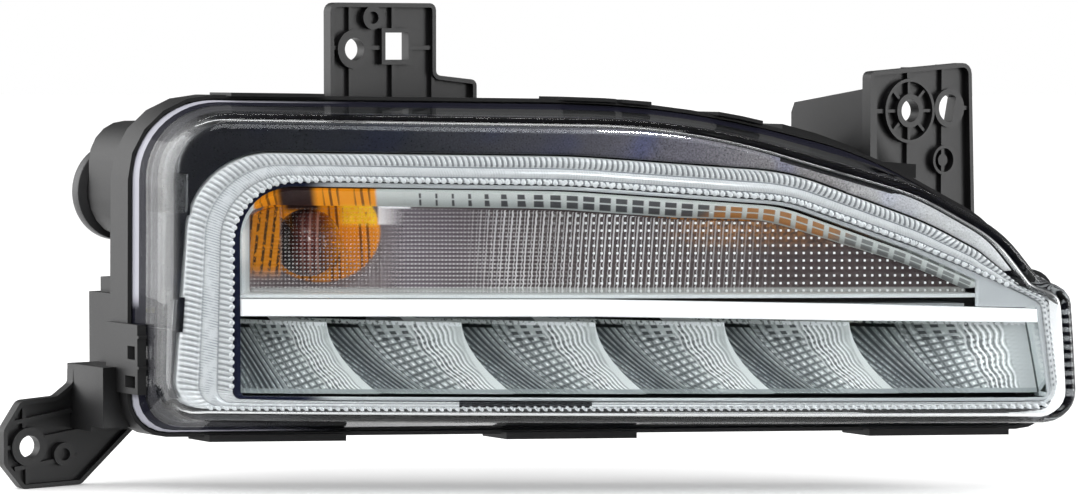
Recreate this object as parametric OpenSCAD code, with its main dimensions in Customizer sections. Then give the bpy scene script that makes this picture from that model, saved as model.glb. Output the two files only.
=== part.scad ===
// Right-hand front indicator lamp with a daytime row, as a bumper unit.
// X runs along the lens, Y runs back from it and Z points up, in millimetres.
// The origin is the middle of the lower outboard bracket's bore.
// Outlines are given where they cross the plane of the lens face, and the
// pieces run back from there along the housing's slanted moulding direction.

/* [Whole lamp] */
// angle between straight back and the moulding direction, in degrees
slant = 35; // [34:0.5:36]
// radius of the lens face's bow along the lamp
bow_r = 2400; // [2200:100:3200]
// radius of the lens face's bow from top to bottom
bow_up_r = 900; // [800:50:1500]

/* [Outer lens] */
// left end of the lens foot
foot_left = -138.9; // [-139.5:0.1:-138.5]
// right end of the lens foot
foot_right = 218.2; // [218:0.1:218.6]
// top of the lens foot
foot_top = 56.4; // [56:0.1:56.8]
// bottom of the lens foot at its left corner
foot_bottom = -73.4; // [-74:0.1:-73]
// depth at which the foot leaves the channel
foot_y = 26; // [25.5:0.1:26.4]
// wall of the lens
lens_t = 2.8; // [2.4:0.1:3]
// depth of the rounded edge of the lens face
edge_y = 5.5; // [4.5:0.5:6]

/* [Housing] */
// wall of the housing
wall = 2.6; // [2.2:0.1:3]
// front edge of the lens channel
channel_y = 27.2; // [27:0.1:27.6]
// floor of the lens channel
channel_floor = 35.5; // [35:0.1:36]
// gap between lens foot and channel wall
channel_gap = 0.6; // [0.5:0.1:0.8]
// thickness of the rim outside the channel
rim_t = 1.4; // [1.2:0.1:1.8]
// back of the shallow ends
shallow_back = 53; // [52:0.5:54]
// back of the deep middle
deep_back = 76; // [75:0.5:78]
// left side of the deep middle
deep_left = -90; // [-91:0.5:-89.5]
// right side of the deep middle
deep_right = 188; // [186:0.5:190]
// back of the turret, measured along the moulding direction
turret_back = 154; // [153:0.5:155]
// back of the lower box, measured the same way
box_back = 155.5; // [154:0.5:156]
// length of a snap tab
tab_len = 30; // [20:1:34]

/* [Brackets] */
// radius of the fixing bores
bore_r = 4.4; // [4:0.1:4.8]
// radius of the boss round a fixing bore
boss_r = 7.6; // [7.2:0.1:8]
// depth of the bracket rims and ribs
rib_depth = 5; // [4:0.5:6]
// web between the ribs
web_t = 2.2; // [1.8:0.1:2.6]
// thickness of the ribs and rims
rib_t = 1.7; // [1.4:0.1:2.2]
// how far back the side wall of the right bracket runs
side_run = 49; // [46:1:52]

/* [Light guide and trim] */
// front of the bezel
bezel_y = 9.6; // [9.4:0.1:10]
// thickness of the trim pieces
trim_t = 1.9; // [1.6:0.1:2.2]
// front of the light guide
guide_y = 9.4; // [9.2:0.1:9.8]
// thickness of the light guide
guide_t = 5; // [4.5:0.1:5.2]
// height of the light guide's ribs
guide_rib = 0.7; // [0.4:0.1:1]
// front of the chrome frame
frame_y = 11; // [10.6:0.1:11.4]
// how far back the chrome frame's wall runs
frame_back = 21.5; // [20:0.5:22]
// gap between neighbouring pieces
gap = 0.3; // [0.2:0.05:0.4]
// top of the divider bar at the left
bar_top = -20.9; // [-21.1:0.1:-20.7]
// height of the divider bar at the left
bar_h = 6.3; // [6:0.1:6.6]

/* [Indicator] */
// place of the bulb's axis across the lens
bulb_x = -61; // [-63:0.5:-59]
// height of the bulb's axis
bulb_z = -0.4; // [-0.8:0.1:0]
// radius of the bulb's glass
glass_r = 13.2; // [12.5:0.1:13.4]
// depth of the reflector's bowl behind the lens plane
bowl_y = 60; // [58:0.5:61]
// focal length of the bowl
bowl_f = 7.5; // [7:0.1:8.5]
// front of the inner lens
inner_y = 20; // [19.5:0.1:20.5]
// thickness of the inner lens
inner_t = 2; // [1.6:0.1:2.2]

/* [Daytime row] */
// upper edge of the cells
cell_top = -30; // [-30.2:0.1:-29.8]
// lower edge of the cells
cell_bottom = -56.4; // [-56.6:0.1:-56]
// front of the ridges between the cells
ridge_y = 16; // [15.5:0.1:16.5]
// depth of a cell below its ridge, at the light source
cell_depth = 28; // [24:1:30]
// how far a ridge leans to the right on its way down
ridge_lean = 18.5; // [17:0.5:20]
// wall of the reflectors
shell_t = 1.6; // [1.4:0.1:1.8]
// underside of the circuit board
board_z = -27; // [-27.2:0.1:-26.8]
// number of cooling fins
fins = 9; // [6:1:12]

/* [Hidden] */
tilt = tan(slant);
far = 400;
board_t = 1.6;
sink_t = 2.2;

// Corners of the outlines: place across, height and corner radius.
foot_corners = [[foot_left, foot_bottom, 13], [foot_right, foot_bottom + 3.4, 14],
                [foot_right - 2.6, -13.4, 7], [204.3, -10.8, 4], [189.8, 8.4, 40],
                [143, 34.5, 150], [68.8, foot_top - 3, 360], [foot_left + 1, foot_top - 0.6, 31]];
face_corners = [[foot_left + 0.3, -67.2, 15], [foot_right - 1.8, -68.6, 12],
                [foot_right - 6.8, -16.8, 9], [198.6, -12.1, 4], [184, 5.6, 50],
                [153, 22.4, 100], [62, foot_top - 8, 280], [foot_left + 1.9, foot_top - 5, 26]];
shell_corners = [[foot_left + 6.4, foot_bottom + 6.4, 10], [foot_right - 6.6, foot_bottom + 9.2, 12],
                 [foot_right - 9.8, -21, 10], [183, 3.2, 34], [140.6, 28.4, 140],
                 [68.5, foot_top - 9.4, 350], [foot_left + 7.4, foot_top - 6, 27]];
guide_out_corners = [[-131, -64.2, 12], [213.4, -62.8, 11], [208, -20.4, 7], [196.5, -14.9, 6],
                     [180, -2.2, 40], [160, 8.2, 150], [104, 28.3, 100], [20, 34.4, 400],
                     [-123.5, 36, 32]];
guide_in_corners = [[-110.3, -59.6, 4], [211.8, -60.6, 4], [206.6, -22.4, 5], [194, -16.6, 20],
                    [176, -9, 40], [155, -0.6, 150], [104, 17, 60], [20, 23, 400],
                    [-109.3, 25, 24]];
window_corners = [[-104.9, -58, 2], [210, -59, 2], [204.8, -23.4, 5], [155, -2.4, 150],
                  [104, 15.3, 60], [20, 21.2, 400], [-104.9, 22.8, 20]];

// Directions and points
function unit(v) = v / norm(v);
function mix(a, b, t) = a + (b - a) * t;
function last(v) = v[len(v) - 1];
function bow(x, y0) = y0 + pow(x - tilt * (y0 + x * x / (2 * bow_r)), 2) / (2 * bow_r);
function at(x, z, y) = [x - tilt * y, y, z];
function on_face(x, z, y0) = at(x, z, bow(x, y0) + pow(z + 8, 2) / (2 * bow_up_r));

// One corner rounded by k steps, in the direction in which the outline runs
function corner_arc(prev, c, next, k) =
    let (a = unit([prev[0] - c[0], prev[1] - c[1]]),
         b = unit([next[0] - c[0], next[1] - c[1]]),
         half = acos(a * b) / 2,
         mid = [c[0], c[1]] + unit(a + b) * c[2] / sin(half),
         first = [c[0], c[1]] + a * c[2] / tan(half),
         from = atan2(first[1] - mid[1], first[0] - mid[0]),
         turn = (a[1] * b[0] - a[0] * b[1] > 0 ? 1 : -1) * (180 - 2 * half))
    [for (j = [0 : k]) mid + c[2] * [cos(from + turn * j / k), sin(from + turn * j / k)]];

// A whole outline, with m steps on each straight stretch
function outline(c, k = 6, m = 1) =
    let (n = len(c), arcs = [for (i = [0 : n - 1]) corner_arc(c[(i + n - 1) % n], c[i], c[(i + 1) % n], k)])
    [for (i = [0 : n - 1])
        each concat(arcs[i], [for (j = [1 : 1 : m - 1]) mix(last(arcs[i]), arcs[(i + 1) % n][0], j / m)])];

// The same outline moved inwards by d
function inset(p, d) =
    let (n = len(p))
    [for (i = [0 : n - 1]) let (t = unit(p[(i + 1) % n] - p[(i + n - 1) % n])) p[i] + d * [-t[1], t[0]]];

// Solids that run along the moulding direction
module in_draw() rotate([90, 0, slant]) children();
module slanted(p, y0, y1) {
    intersection() {
        in_draw()
            translate([0, 0, -far])
                linear_extrude(height = 2 * far) polygon([for (q = p) [q[0] * cos(slant), q[1]]]);
        translate([-far, y0, -far / 2])
            cube([2 * far, y1 - y0, far]);
    }
}

// A layer that follows the bow of the lens
module bowed(y0, y1) {
    translate([0, bow_r, -far / 4])
        difference() {
            cylinder(h = far / 2, r = bow_r - y0, $fn = 256);
            translate([0, 0, -1])
                cylinder(h = far / 2 + 2, r = bow_r - y1, $fn = 256);
        }
}
module bowed_ring(p, q, y0, y1) {
    intersection() {
        difference() {
            slanted(p, -2, 60);
            slanted(q, -4, 62);
        }
        intersection() {
            bowed(y0, y1);
            translate([-far * 0.7, -5, -far / 5])
                cube([far * 1.3, 80, far * 0.4]);
        }
    }
}
module ring(p, q, y0, y1) {
    difference() {
        slanted(p, y0, y1);
        slanted(q, y0 - 1, y1 + 1);
    }
}
// A box between two places across, two heights and two depths
module slab(x0, x1, z0, z1, y0, y1) {
    slanted([[x0, z0], [x1, z0], [x1, z1], [x0, z1]], y0, y1);
}
// A round bar along the moulding direction, between two draw depths
module rod(x, z, r, w0, w1) {
    in_draw()
        translate([x * cos(slant), z, -w1])
            cylinder(h = w1 - w0, r = r, $fn = 64);
}
// A block in the moulding direction's own frame
module block(u0, u1, z0, z1, w0, w1) {
    in_draw()
        translate([u0, z0, -w1])
            cube([u1 - u0, z1 - z0, w1 - w0]);
}
function rounded_box(u0, u1, z0, z1, r) =
    outline([[u0, z0, r], [u1, z0, r], [u1, z1, r], [u0, z1, r]], 5);
module plate(p, w0, w1) {
    in_draw()
        translate([0, 0, -w1])
            linear_extrude(height = w1 - w0) polygon(p);
}

// Surfaces made of rows of points
function two(a, b, c, d) = [[a, b, c], [a, c, d]];
module sheet(front, back) {
    rows = len(front);
    cols = len(front[0]);
    base = rows * cols;
    points = concat([for (r = front) each r], [for (r = back) each r]);
    faces = concat(
        [for (i = [0 : rows - 2]) for (j = [0 : cols - 2])
            let (a = i * cols + j) each two(a, a + cols, a + cols + 1, a + 1)],
        [for (i = [0 : rows - 2]) for (j = [0 : cols - 2])
            let (a = base + i * cols + j) each two(a, a + 1, a + cols + 1, a + cols)],
        [for (j = [0 : cols - 2]) each two(j, j + 1, base + j + 1, base + j)],
        [for (j = [0 : cols - 2])
            let (a = (rows - 1) * cols + j) each two(a + 1, a, base + a, base + a + 1)],
        [for (i = [0 : rows - 2])
            let (a = i * cols) each two(a + cols, a, base + a, base + a + cols)],
        [for (i = [0 : rows - 2])
            let (a = i * cols + cols - 1) each two(a, a + cols, base + a + cols, base + a)]);
    polyhedron(points = points, faces = faces, convexity = 8);
}
function band(n, a, b) = [for (i = [0 : n - 1]) let (k = (i + 1) % n) each two(a + i, a + k, b + k, b + i)];
module dome(rings, front, back) {
    n = len(rings[0]);
    m = len(rings);
    points = concat([for (r = rings) each r], [front, back]);
    faces = concat(
        [for (i = [0 : m - 2]) each band(n, i * n, (i + 1) * n)],
        [for (i = [0 : n - 1]) [m * n, (i + 1) % n, i]],
        [for (i = [0 : n - 1]) [m * n + 1, (m - 1) * n + i, (m - 1) * n + (i + 1) % n]]);
    polyhedron(points = points, faces = faces, convexity = 8);
}
module loop(rings) {
    n = len(rings[0]);
    m = len(rings);
    polyhedron(points = [for (r = rings) each r],
               faces = [for (i = [0 : m - 1]) each band(n, i * n, ((i + 1) % m) * n)], convexity = 8);
}

foot = outline(foot_corners, 7, 3);
face = outline(face_corners, 7, 3);
foot_line = outline(foot_corners, 5);
shell_line = outline(shell_corners, 5);
window = outline(window_corners, 6, 1);
guide_out = outline(guide_out_corners, 6, 1);
guide_in = outline(guide_in_corners, 6, 1);

// The part hangs on the lower outboard bracket's bore.
low_u = -142;
low_z = -80.1;
low_w = 144.3;
bore_w = low_w + (rib_depth + web_t) / 2 - 1;
module place() {
    translate([bore_w * sin(slant) - low_u * cos(slant), -low_u * sin(slant) - bore_w * cos(slant), -low_z])
        children();
}

// Outer lens and its bead
function face_ring(f, y0) = [for (p = face) let (q = mix([30, -8], p, f)) on_face(q[0], q[1], y0)];
function edge_ring(d, y0) = [for (p = inset(face, d)) on_face(p[0], p[1], y0)];
function foot_ring(d, y0) = [for (p = inset(foot, d)) at(p[0], p[1], y0)];
module outer_lens() {
    color([0.9, 0.93, 0.95, 0.35])
        place()
            dome([face_ring(0.3, 0), face_ring(0.6, 0), face_ring(0.85, 0), edge_ring(4.5, 0.1),
                  edge_ring(1.4, 1.3), edge_ring(0, edge_y), foot_ring(0.1, foot_y),
                  foot_ring(0.2, channel_floor - 2.5), foot_ring(0.2 + lens_t, channel_floor - 2.5),
                  foot_ring(0.2 + lens_t, foot_y), edge_ring(lens_t, edge_y + 1.4),
                  edge_ring(lens_t + 1, lens_t + 1.2), edge_ring(lens_t + 3.5, lens_t + 0.1),
                  face_ring(0.85, lens_t), face_ring(0.6, lens_t), face_ring(0.3, lens_t)],
                 on_face(30, -8, 0), on_face(30, -8, lens_t));
}

module lens_seal() {
    color([0.1, 0.1, 0.1])
        place()
            ring(inset(foot, gap + 0.1 - channel_gap), inset(foot, lens_t + 1),
                 channel_floor - 2.5, channel_floor);
}

// Housing with its brackets
channel_in = lens_t + 1.4;
channel_wall = channel_in + 2.2;
rim_line = inset(foot_line, -channel_gap - rim_t);
module shell_block(x0, x1, y0, y1, d) {
    intersection() {
        slanted(inset(shell_line, d), y0, y1);
        slab(x0, x1, -90, 70, y0 - 1, y1 + 1);
    }
}
turret_shape = rounded_box(-110, -71, 0.6, 46.6, 16);
turret_hollow = rounded_box(-110 + wall, -71 - wall, 0.6 + wall, 46.6 - wall, 13);
cap_u = -94;
cap_z = 18.4;
bulb_w = 86.5;
holder_w = bulb_w + 55.5;

// Snap tabs over the lens foot follow the upper or the lower rim between two places.
upper_rim = [for (p = rim_line) if (p[1] > 12 && p[0] < 180) p];
lower_rim = [for (p = rim_line) if (p[1] < foot_bottom + 8 && p[0] > foot_left + 6) p];
module snap_tab(x0, x1, rim, out, y0 = channel_y - 3.2, y1 = channel_floor + 2) {
    steps = 4;
    xs = [for (i = [0 : steps]) mix(x0, x1, i / steps)];
    slanted(concat([for (x = xs) [x, lookup(x, rim) - out / 2]],
                   [for (i = [steps : -1 : 0]) [xs[i], lookup(xs[i], rim) + out]]),
            y0, y1);
}
upper_tabs = [[-102, -102 + tab_len + 6], [26, 46.5], [49, 60], [86, 103]];
lower_tabs = [[-111, -111 + tab_len + 23], [4, 4 + tab_len + 20.5], [144.5, 144.5 + tab_len + 24]];

// Catch on the left side, with its window and its two small ribs
catch_z0 = -58;
catch_z1 = -31;
module side_catch() {
    outside = foot_left - channel_gap;
    difference() {
        union() {
            slab(outside - 3.4, outside, catch_z0, catch_z1, 17, channel_floor + 2);
            for (z = [-35.7, -47.6])
                slab(outside - 3.4, outside, z - 0.5, z + 0.5, 16.2, 18);
        }
        slab(outside - 5, outside + 1, -44.6, -39.4, 18.6, 23.4);
        slab(outside - 5, outside + 1, -55.6, -51, 18.6, 25);
    }
}

// Stiffening ribs on the back of the deep middle and beside it
module back_ribs() {
    intersection() {
        union() {
            for (x = [-64, -34, 2, 38, 74, 128, 160])
                slab(x - 0.9, x + 0.9, 6, 60, deep_back - 1, deep_back + 3.2);
            slab(-70, 180, 4.2, 6, deep_back - 1, deep_back + 3.2);
            for (x = [-40, -13, 14, 41, 68, 95, 122, 149, 170])
                slab(x - 0.9, x + 0.9, -70, -49.8, deep_back - 1, deep_back + 3.2);
            slab(-45, 176, -51.6, -49.8, deep_back - 1, deep_back + 3.2);
            slab(96, 97.8, -51, 5, deep_back - 1, deep_back + 3.2);
            slab(160, 161.8, -51, 5, deep_back - 1, deep_back + 3.2);
        }
        shell_block(-80, deep_right - 3, deep_back - 1, deep_back + 4, 5);
    }
    intersection() {
        for (z = [-52 : 9 : -16])
            slanted([[deep_right - 3, z - 0.8], [200, z - 0.8], [200, z + 0.8], [deep_right - 3, z + 0.8]],
                    shallow_back - 1, shallow_back + 9);
        shell_block(deep_right - 4, 210, shallow_back - 1, shallow_back + 12, 1.5);
    }
}

module bracket_ribs(p, w0) {
    difference() {
        plate(p, w0, w0 + rib_depth);
        plate(inset(p, rib_t), w0 - 1, w0 + rib_depth - web_t);
    }
}
module ring_boss(u, z, r, t, w0) {
    in_draw()
        translate([u, z, -w0 - rib_depth])
            difference() {
                cylinder(h = rib_depth, r = r, $fn = 64);
                translate([0, 0, web_t - 0.2])
                    cylinder(h = rib_depth, r = r - t, $fn = 64);
            }
}
module boss(u, z, r, w0) {
    in_draw()
        translate([u, z, -w0 - rib_depth])
            cylinder(h = rib_depth, r = r, $fn = 64);
}
module bore(u, z, r, w0) {
    in_draw()
        translate([u, z, -w0 - rib_depth - 3])
            cylinder(h = rib_depth + 6, r = r, $fn = 64);
}

// Upper left bracket
top_w = 71.9;
top_shape = outline([[-48.4, 44, 2.6], [19.9, 44, 2.6], [19.9, 62.8, 2.6], [0.6, 64.8, 2],
                     [0.6, 93.1, 2.8], [-48.4, 93.1, 3.5]], 4);
module top_bracket() {
    difference() {
        union() {
            bracket_ribs(top_shape, top_w);
            block(-39.4, -37.8, 46, 92, top_w + 1, top_w + rib_depth);
            block(-19.6, -18, 46, 92, top_w + 1, top_w + rib_depth);
            block(-47.5, 0, 74.8, 76.4, top_w + 1, top_w + rib_depth);
            block(-1, 0.6, 50, 66, top_w + 1, top_w + rib_depth);
            boss(-37.4, 75, boss_r, top_w);
            boss(-28.7, 87.3, 4.6, top_w);
            block(-24.8, -10.7, 69, 83.2, top_w, top_w + rib_depth);
        }
        bore(-37.4, 75, bore_r, top_w);
        bore(-28.7, 87.3, 2.4, top_w - rib_depth - 1);
        block(-23.1, -12.4, 70.9, 81.5, top_w - 2, top_w + rib_depth + 2);
    }
}

// Upper right bracket with its long side wall
right_w = -48.8;
right_shape = outline([[122.2, 20, 2.6], [176.5, -10, 2.6], [174, 69.9, 4.5], [122.3, 66.3, 2.6]], 4);
module right_bracket() {
    difference() {
        union() {
            bracket_ribs(right_shape, right_w);
            block(141.6, 143.2, 14, 39, right_w + 1, right_w + rib_depth);
            block(141.6, 143.2, 63, 68, right_w + 1, right_w + rib_depth);
            block(159.3, 160.9, 4, 69, right_w + 1, right_w + rib_depth);
            block(123, 130.5, 50.2, 51.8, right_w + 1, right_w + rib_depth);
            block(168, 174, 51.1, 52.7, right_w + 1, right_w + rib_depth);
            difference() {
                ring_boss(142.4, 51, 12.6, 1.2, right_w);
                block(120, 124, 30, 70, right_w - 2, right_w + 8);
            }
            boss(142.4, 51, boss_r - 1, right_w);
            boss(162.6, 51.9, boss_r, right_w);
            ring_boss(160.1, 31.5, 5.8, 1.1, right_w);
            boss(160.1, 31.5, 2.4, right_w + 1);
            for (turn = [0 : 45 : 315])
                in_draw()
                    translate([142.4, 51, -right_w - rib_depth])
                        rotate([0, 0, turn])
                            translate([boss_r - 2, -0.6, 0])
                                cube([12 - boss_r + 2, 1.2, rib_depth - 0.8]);
            // side wall that runs back to the shell
            rotate([0, 0, slant])
                translate([122.3, right_w, 0])
                    rotate([0, -90, 0])
                        translate([0, 0, -3.2])
                            linear_extrude(height = 3.2)
                                polygon([[14, 0], [60.2, 0], [54, side_run - 2], [50, side_run],
                                         [14, side_run]]);
        }
        bore(142.4, 51, bore_r, right_w);
        // hole with a flat side
        intersection() {
            bore(162.6, 51.9, 5.4, right_w);
            in_draw()
                translate([162.6, 51.9, -right_w - rib_depth - 4])
                    rotate([0, 0, -12])
                        translate([-12, -8, 0])
                            cube([14.4, 16, rib_depth + 8]);
        }
    }
}

// Lower left bracket and the block that carries it
low_shape = outline([[-153.3, -86.5, 4], [-145, -96.6, 2.6], [-119.5, -96.2, 3], [-94, -74, 4],
                     [-94, -48.4, 2.6], [-122.7, -48.4, 2.6], [-122.9, -56, 2.5], [-130, -61, 3],
                     [-145.5, -61.9, 4], [-153.3, -73, 4]], 4);
module low_bracket() {
    difference() {
        union() {
            bracket_ribs(low_shape, low_w);
            block(-144.6, -143, -76, -62, low_w + 1, low_w + rib_depth);
            block(-143.4, -141.8, -96, -84, low_w + 1, low_w + rib_depth);
            block(-152, -142, -80.9, -79.3, low_w + 1, low_w + rib_depth);
            in_draw()
                translate([-141, -78.6, -low_w - rib_depth])
                    rotate([0, 0, 7])
                        cube([34, rib_t, rib_depth - 1]);
            in_draw()
                translate([-150.5, -71.6, -low_w - rib_depth])
                    rotate([0, 0, 8])
                        cube([28, rib_t, rib_depth - 1]);
            in_draw()
                translate([-148, -89.4, -low_w - rib_depth])
                    rotate([0, 0, 7])
                        cube([28, rib_t, rib_depth - 1]);
            boss(low_u, low_z, boss_r, low_w);
            boss(-126.7, -84, 4.6, low_w);
            block(-122.7, -98, -72, -48.4, 120, low_w + rib_depth);
            block(-122.7, -90, -74, -70, 130, low_w + rib_depth);
        }
        bore(low_u, low_z, bore_r, low_w);
        bore(-126.7, -84, 2.4, low_w - rib_depth - 1);
    }
}

sink_x0 = -26;
sink_x1 = 84;
sink_z0 = -44;
sink_z1 = -12;
plug_x = 132;
plug_z = -10;
// A box round the plug's axis, which runs straight back
module plug_box(half_x, half_z, y0, y1) {
    translate([plug_x - tilt * deep_back - half_x, deep_back + y0, plug_z - half_z])
        cube([2 * half_x, y1 - y0, 2 * half_z]);
}
module rear_housing() {
    color([0.1, 0.1, 0.11])
        place() {
            difference() {
                union() {
                    slanted(rim_line, channel_y, channel_floor + 3);
                    shell_block(-200, 230, channel_floor - 1, shallow_back, 0);
                    shell_block(deep_left, deep_right, channel_floor, deep_back, 1.5);
                    plate(turret_shape, 110, turret_back);
                    block(-109.5, -66, -49.9, -20.9, 110, box_back);
                    block(-107, -66, -22, -14.9, 110, box_back - 5);
                    rod(cap_u / cos(slant), cap_z, 15.5, turret_back - 1, turret_back + 3);
                    rod(bulb_x, bulb_z, 21, 108, holder_w);
                    for (t = upper_tabs)
                        snap_tab(t[0], t[1], upper_rim, 0.9);
                    for (t = lower_tabs)
                        snap_tab(t[0], t[1], lower_rim, -1.8);
                    snap_tab(120, 172, upper_rim, 3.6, channel_floor + 1, channel_floor + 16);
                    side_catch();
                    back_ribs();
                    top_bracket();
                    right_bracket();
                    low_bracket();
                }
                // channel for the lens foot
                ring(inset(foot_line, -channel_gap), inset(foot_line, channel_in),
                     channel_y - 4, channel_floor);
                // step down to the inner wall of the channel
                slanted(inset(foot_line, channel_in - 0.2), channel_y - 5, channel_y + 3);
                // hollow of the shell
                slanted(inset(shell_line, wall), channel_y - 3, shallow_back - wall);
                shell_block(deep_left + wall, deep_right - wall, channel_y, deep_back - wall, wall + 1.5);
                plate(turret_hollow, 100, turret_back - wall);
                block(-109.5 + wall, -66 - wall, -49.9 + wall, -20.9 - wall, 100, box_back - wall);
                block(-70, -60, -49.9 + wall, -20.9 - wall, 90, 128);
                // openings for cap, bulb holder, sink, plug and breather
                rod(cap_u / cos(slant), cap_z, 12.5, turret_back - 8, turret_back + 4);
                rod(bulb_x, bulb_z, 16, 90, holder_w + 1);
                // groove for the holder's lugs and the ways into it
                rod(bulb_x, bulb_z, 18, holder_w - 9, holder_w - 4);
                for (turn = [60 : 120 : 300])
                    in_draw()
                        translate([bulb_x * cos(slant), bulb_z, -holder_w - 1])
                            rotate([0, 0, turn])
                                translate([12, -3, 0])
                                    cube([6, 6, 8]);
                slab(sink_x0 + 8, sink_x1 - 8, sink_z0 + 6, sink_z1 - 6, deep_back - 5, deep_back + 3);
                plug_box(9, 6, -5, 3);
                rotate([-90, 0, 0])
                    translate([60, -24, deep_back - 6])
                        cylinder(h = 8, r = 3, $fn = 48);
            }
        }
}

// Bezel, light guide and frame
bezel_out = inset(face, 3.5);
notch_x = -128.3;
notch_z0 = 12.6;
notch_z1 = 27.3;
module bezel() {
    guide_line = inset(guide_out, -gap);
    seat_y = bezel_y + guide_t + 1;
    color([0.16, 0.17, 0.19])
        place() {
            // dark band, the wall beside the light guide and the outer return
            difference() {
                union() {
                    bowed_ring(bezel_out, guide_line, bezel_y, bezel_y + trim_t);
                    bowed_ring(inset(guide_line, -1.2), guide_line, bezel_y, seat_y + trim_t);
                    bowed_ring(bezel_out, inset(bezel_out, 1.4), bezel_y, bezel_y + 12);
                    ring(bezel_out, inset(bezel_out, 1.4), bezel_y + 8, channel_y + 3 - gap);
                }
                slab(-180, 230, -90, -60.5, 0, 40);
                slab(186, 230, -90, 70, 0, 40);
                // rounder corner and notches on the left side
                slanted(concat([[-109, 60], [-145, 60], [-145, notch_z1], [notch_x, notch_z1]],
                               corner_arc([notch_x, 0], [notch_x, 46.8, 19], [60, 46.8], 8),
                               [[-109, 46.8]]), 0, 40);
                slab(-145, notch_x + 3, notch_z0, notch_z1 + 0.1, 0, 40);
                slab(-145, notch_x + 0.6, -32.4, -20.9, 0, seat_y + 8);
            }
            // seat of the light guide
            bowed_ring(inset(guide_line, -0.3), inset(window, -1.3 - gap), seat_y, seat_y + trim_t);
        }
}

module light_guide() {
    k = 8;
    m = 16;
    a = outline(guide_out_corners, k, m);
    b = outline(guide_in_corners, k, m);
    n = len(a);
    function lift(i) = i % 2 == 0 ? 0 : guide_rib;
    function row(t, y0, d) = [for (i = [0 : n - 1])
        let (q = mix(a[i], b[i], t)) at(q[0], q[1], bow(q[0], y0 + d * lift(i)))];
    color([0.85, 0.87, 0.88, 0.6])
        place()
            loop([row(0.96, guide_y + 0.4, 1), row(0.5, guide_y, 1), row(0.04, guide_y + 0.4, 1),
                  row(0.02, guide_y + guide_t, 0), row(0.98, guide_y + guide_t, 0)]);
}

module chrome_frame() {
    color([0.75, 0.77, 0.8])
        place() {
            bowed_ring(inset(guide_in, gap), window, frame_y, frame_y + trim_t);
            bowed_ring(inset(window, -1.3), window, frame_y, frame_back);
        }
}

bar_low = bar_top - bar_h;
module divider_bar() {
    color([0.95, 0.95, 0.95])
        place()
            intersection() {
                slanted([[-104.9 + gap, bar_low], [30, bar_low], [128, -28.9], [204.6, -29.9],
                         [204.2, -24.8], [128, -22.7], [30, bar_top], [-104.9 + gap, bar_top]], 0, 60);
                bowed(frame_y - 1, frame_y + 7);
            }
}

// Indicator chamber
tray_left = -104.9 + gap + shell_t;
tray_right = 180;
tray_cols = 26;
window_top = [for (p = outline(window_corners, 12)) if (p[1] > -23) [p[0], p[1]]];
tray_floor = bar_top + gap + shell_t;
function tray_top(x) = lookup(x < -85 ? x - shell_t : x, window_top) - gap - 1.5 * shell_t;
function tray_lip(x) = min(6, (tray_top(x) - tray_floor) * 0.5);
function bowl(x, z) = bowl_y - (pow((x - bulb_x) * cos(slant), 2) + pow(z - bulb_z, 2)) / (4 * bowl_f);
function tray_y(x, z) = max(inner_y + inner_t + 8.2 - 0.012 * max(x, 0),
                            x < bulb_x ? bowl(x, z) : max(bowl(x, z), 45 - 0.09 * (x - bulb_x)));
module indicator_inner_lens() {
    steps = 16;
    xs = [for (i = [0 : steps]) mix(tray_right - 2, -94.5, i / steps)];
    low = tray_floor + gap;
    color([0.85, 0.85, 0.85, 0.35])
        place()
            intersection() {
                slanted(concat([[-94.5, low], [tray_right - 2, low]],
                               [for (x = xs) [x, tray_top(x) - tray_lip(x) - 2 * gap]]), 0, 60);
                bowed(inner_y, inner_y + inner_t);
            }
}

module indicator_reflector() {
    rows = 7;
    xs = [for (j = [0 : tray_cols]) mix(tray_left, tray_right, j / tray_cols)];
    function mid_z(x, i) = mix(tray_floor, tray_top(x) - tray_lip(x), i / rows);
    // each column runs from the front of the floor over the back to the front of the top
    function column(x, front) = [
        each [[x, tray_floor, frame_y + 2]],
        each [for (i = [0 : rows]) [x, mid_z(x, i), front ? frame_y + 2 : tray_y(x, mid_z(x, i))]],
        each [[x, tray_top(x) - tray_lip(x), front ? frame_y + 2 : inner_y + inner_t + 1.5]],
        each [[x, tray_top(x), frame_y + 2]]];
    function thick(c, dx) = let (n = len(c) - 1) [for (i = [0 : n])
        [c[i][0] + dx, c[i][1] + (i < 2 ? -shell_t : i > rows ? shell_t * 0.9 : 0),
         c[i][2] + (i == 0 ? 0 : shell_t)]];
    cols = [for (x = xs) column(x, false)];
    backs = [for (j = [0 : len(xs) - 1]) thick(cols[j], j == 0 ? -shell_t : j == len(xs) - 1 ? shell_t : 0)];
    n = len(cols[0]);
    color([0.7, 0.72, 0.72])
        place()
            difference() {
                sheet([for (i = [0 : n - 1]) [for (c = cols) at(c[i][0], c[i][1], bow(c[i][0], c[i][2]))]],
                      [for (i = [0 : n - 1]) [for (c = backs) at(c[i][0], c[i][1], bow(c[i][0], c[i][2]))]]);
                rod(bulb_x, bulb_z, 12.5, 80, 140);
            }
}

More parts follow.
